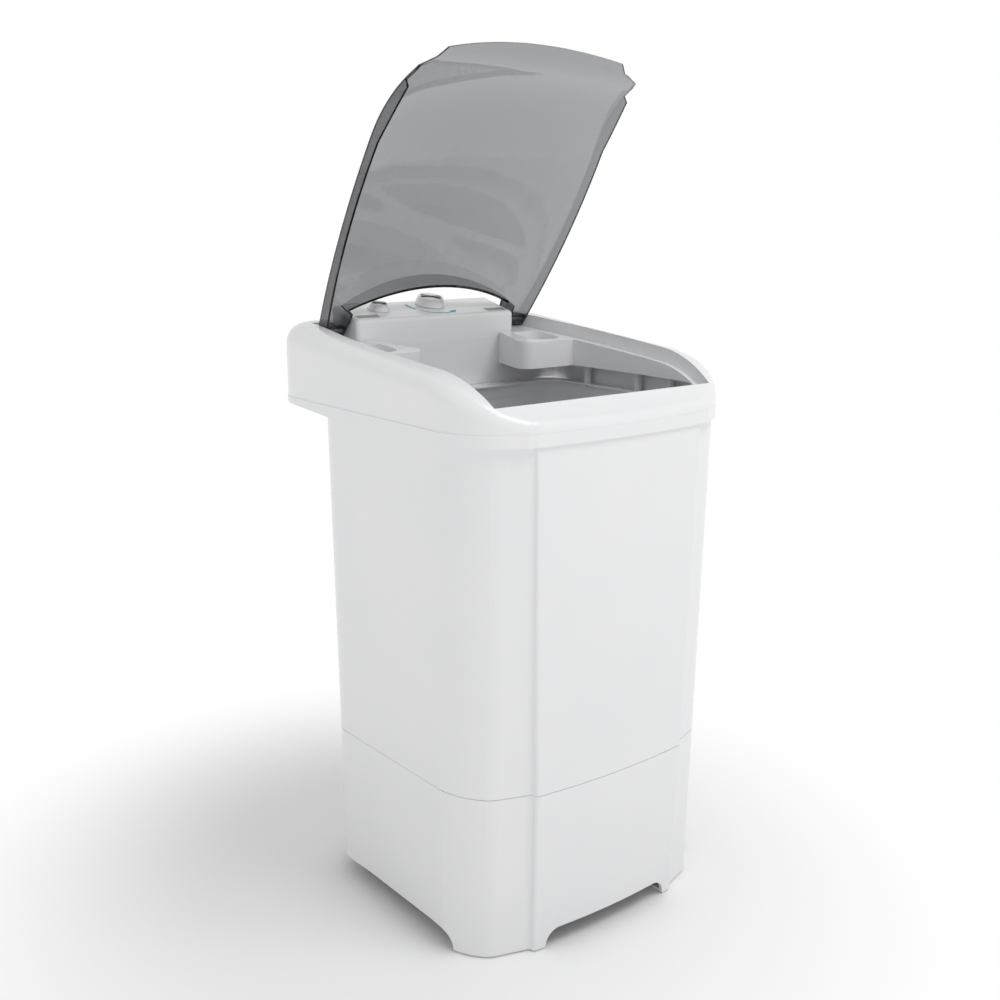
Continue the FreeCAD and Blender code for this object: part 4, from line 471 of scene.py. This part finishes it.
# Grey sheets in the panel's two front-corner hollows.
# Thin slabs with rounded corners, laid in the panel's two shallow hollows. Their grey is painted shade, put
# where the hollows lie in shade. They are matt beside the glossy panel.
painted_hollow_shade = moulded_plastic(
    "grey_sheet_painted_hollow_shade", "#AFB0B1", "#A2A3A4", roughness=0.55, ripple=0.25, ripple_mm=1.0)
pad_half_width = 0.0196
pad_half_depth = 0.0071
pad_corner = 0.002
pad_thickness = 0.0008
hollow_depth = 0.0015
pad_x = 0.121
pad_setback = 0.4445
corner_steps = 4
pad_outline = []
for corner, (right, back) in enumerate(((1, 1), (-1, 1), (-1, -1), (1, -1))):
    for step in range(corner_steps + 1):
        edge_x, edge_y = at_angle(pad_corner, 90 * (corner + step / corner_steps))
        pad_outline.append((right * (pad_half_width - pad_corner) + edge_x,
                            back * (pad_half_depth - pad_corner) + edge_y))
shade_sheets = bmesh.new()
for side in (-1, 1):
    pad_place = on_console(side * pad_x, pad_setback)
    slab(shade_sheets, pad_outline, -hollow_depth, pad_thickness - hollow_depth, pad_place)
finish_piece("hollow_shade_sheets", shade_sheets, painted_hollow_shade, "machine")

# Timer and selector knobs.
# White ABS caps, moulded with a high gloss and pressed on the control shafts.
white_knob_abs = moulded_plastic("white_knob_abs", "#F2F2F3", "#EEEEF0", roughness=0.18, ripple=0.04)
dress(white_knob_abs, "timer_knob", "selector_knob")

# Grip bars on the two knobs.
# ABS plated with chrome, one clipped into the top of each knob. The plating's dark colour is a painted
# reflection of dark surroundings; it is almost as bright as a mirror, with a long slow ripple from the
# moulding under it.
chrome_with_painted_reflection = plain_metal(
    "chrome_plated_abs_painted_dark_reflection", "#3B3D40", "#303235", roughness=0.14, grain_mm=6.0, grain_depth=0.03)


def grip_bar(name, body, place, top_radius, knob_height):
    """Bar across a knob's top, wide at both ends and narrow in the middle, with its upper edge drawn in."""
    length = top_radius * 0.86
    wide = top_radius * 0.42
    waist = top_radius * 0.08
    waist_power = 1.5
    end_share = 0.6
    rise = 0.0014
    drawn_in = 0.0006
    turn = -26
    stations = (-1.0, -0.9, -0.6, -0.3, 0.0, 0.3, 0.6, 0.9)
    outline = []
    for sign in (1, -1):
        for share in stations:
            along = sign * share * length
            half = waist + (wide - waist) * abs(share) ** waist_power
            if abs(share) == 1.0:
                half = half * end_share
            outline.append((along, -sign * half))
    turned = place @ Matrix.Rotation(math.radians(turn), 4, "Z")
    bar = bmesh.new()
    loops = []
    for height, inset in ((0.0, 0.0), (rise - drawn_in, 0.0), (rise, drawn_in)):
        loop = []
        for along, across in outline:
            x = along - math.copysign(inset, along)
            y = across - math.copysign(inset, across)
            loop.append(bar.verts.new(turned @ Vector((x, y, knob_height + height))))
        loops.append(loop)
    bar.faces.new(loops[-1])
    bar.faces.new(list(reversed(loops[0])))
    skin(bar, loops)
    finish_piece(name, bar, chrome_with_painted_reflection, body)


timer_top_radius = 0.0195
timer_height = 0.013
selector_top_radius = 0.013
selector_height = 0.0105
grip_bar("timer_grip", "timer_control", timer_place, timer_top_radius, timer_height)
grip_bar("selector_grip", "selector_control", selector_place, selector_top_radius, selector_height)

# Ring round the selector.
# A thin raised line moulded with the panel, in the same glossy white ABS.
ring_inner = 0.0182
ring_outer = 0.0192
ring_rise = 0.0006
ring_steps = 64
selector_ring = bmesh.new()
ring_profile = [(ring_inner, 0), (ring_inner, ring_rise), (ring_outer, ring_rise), (ring_outer, 0)]
turned_ring(selector_ring, ring_profile, selector_place, ring_steps)
finish_piece("selector_ring", selector_ring, white_abs, "machine")

# Smoked lid.
# One piece of grey-tinted polycarbonate, moulded to a crowned shell with a turned-down edge. The tint is in
# the plastic, so the thin top lets a dulled view through, while the edges, seen end on, look almost black.
smoked_polycarbonate, tree, output = new_material("smoked_polycarbonate")
place = add(tree, "ShaderNodeTexCoord").outputs["Object"]
haze_mm = 60
clear_roughness = 0.02
hazy_roughness = 0.06
flow_mm = 90
flow_height_mm = 4
flow_depth = 0.08
polycarbonate_ior = 1.585
smoke_density = 600.0
haze = add(tree, "ShaderNodeTexNoise", {"Vector": place, "Scale": 1000 / haze_mm, "Detail": 2.0})
haze_rough = add(tree, "ShaderNodeMapRange", {
    "Value": haze.outputs["Fac"], "To Min": clear_roughness, "To Max": hazy_roughness})
flow = add(tree, "ShaderNodeTexNoise", {"Vector": place, "Scale": 1000 / flow_mm, "Detail": 1.0})
flow_bump = add(tree, "ShaderNodeBump", {
    "Height": flow.outputs["Fac"], "Strength": flow_depth, "Distance": flow_height_mm / 1000})
lid_surface = add(tree, "ShaderNodeBsdfPrincipled", {
    "Base Color": linear("#F2F2F4"), "Roughness": haze_rough.outputs["Result"],
    "IOR": polycarbonate_ior, "Normal": flow_bump.outputs["Normal"], "Transmission Weight": 1.0})
smoke = add(tree, "ShaderNodeVolumeAbsorption", {"Color": linear("#BABBBD"), "Density": smoke_density})
tree.links.new(lid_surface.outputs["BSDF"], output.inputs["Surface"])
tree.links.new(smoke.outputs["Volume"], output.inputs["Volume"])
dress(smoked_polycarbonate, "lid_shell")

# Stage: white paper floor, soft studio light and the photograph's camera.
# The paper is plain near the machine, where it takes the shadow, and fades to the white backdrop further
# off. The lamp hangs in front and above, and the room fills in from all round.
floor_mesh = bpy.data.meshes.new("floor")
reach = 30.0
floor_corners = [(-reach, -reach, 0), (reach, -reach, 0), (reach, reach, 0), (-reach, reach, 0)]
floor_mesh.from_pydata(floor_corners, [], [(0, 1, 2, 3)])
floor = bpy.data.objects.new("floor", floor_mesh)
bpy.context.scene.collection.objects.link(floor)
paper, tree, output = new_material("white_paper")
place = add(tree, "ShaderNodeTexCoord").outputs["Object"]
shadow_middle = (-0.12, 0.04, 0.0)
distance = add(tree, "ShaderNodeVectorMath", {0: place, 1: shadow_middle}, operation="DISTANCE")
fade_start = 0.3
fade_end = 0.85
far_off = add(tree, "ShaderNodeMapRange", {
    "Value": distance.outputs["Value"], "From Min": fade_start, "From Max": fade_end},
    interpolation_type="SMOOTHSTEP")
paper_surface = add(tree, "ShaderNodeBsdfDiffuse", {"Color": linear("#FCFCFC")})
backdrop = add(tree, "ShaderNodeEmission", {"Color": (1, 1, 1, 1), "Strength": 1.0})
paper_mix = add(tree, "ShaderNodeMixShader", {
    0: far_off.outputs["Result"], 1: paper_surface.outputs[0], 2: backdrop.outputs[0]})
tree.links.new(paper_mix.outputs[0], output.inputs["Surface"])
floor_mesh.materials.append(paper)

world = bpy.data.worlds.new("studio")
bpy.context.scene.world = world
world.use_nodes = True
tree = world.node_tree
tree.nodes.clear()
rays = add(tree, "ShaderNodeLightPath")
mirrored = add(tree, "ShaderNodeMath", {
    0: rays.outputs["Is Camera Ray"], 1: rays.outputs["Is Glossy Ray"]}, operation="MAXIMUM")
seen = add(tree, "ShaderNodeMath", {
    0: mirrored.outputs[0], 1: rays.outputs["Is Transmission Ray"]}, operation="MAXIMUM")
fill_light = 0.63
strength = add(tree, "ShaderNodeMapRange", {"Value": seen.outputs[0], "To Min": fill_light, "To Max": 1.0})
studio = add(tree, "ShaderNodeBackground", {
    "Color": (1, 1, 1, 1), "Strength": strength.outputs["Result"]})
add(tree, "ShaderNodeOutputWorld", {"Surface": studio.outputs["Background"]})

key = bpy.data.lights.new("key", "AREA")
key.energy = 24
key.shape = "RECTANGLE"
key.size = 1.2
key.size_y = 1.2
key_lamp = bpy.data.objects.new("key", key)
key_from = Vector((0.5, -1.4, 3.0))
key_towards = Vector((0, 0, 0.5))
key_turn = (key_from - key_towards).to_track_quat("Z", "Y").to_matrix().to_4x4()
key_lamp.matrix_world = Matrix.Translation(key_from) @ key_turn
bpy.context.scene.collection.objects.link(key_lamp)

camera_data = bpy.data.cameras.new("camera")
camera_data.lens = 44.28
camera_data.sensor_width = 36.0
camera = bpy.data.objects.new("camera", camera_data)
camera.location = (-1.1086, -1.4150, 1.0056)
camera.rotation_euler = (math.radians(76.812), 0, math.radians(-37.931))
bpy.context.scene.collection.objects.link(camera)
bpy.context.scene.camera = camera
bpy.context.scene.view_settings.view_transform = "Standard"
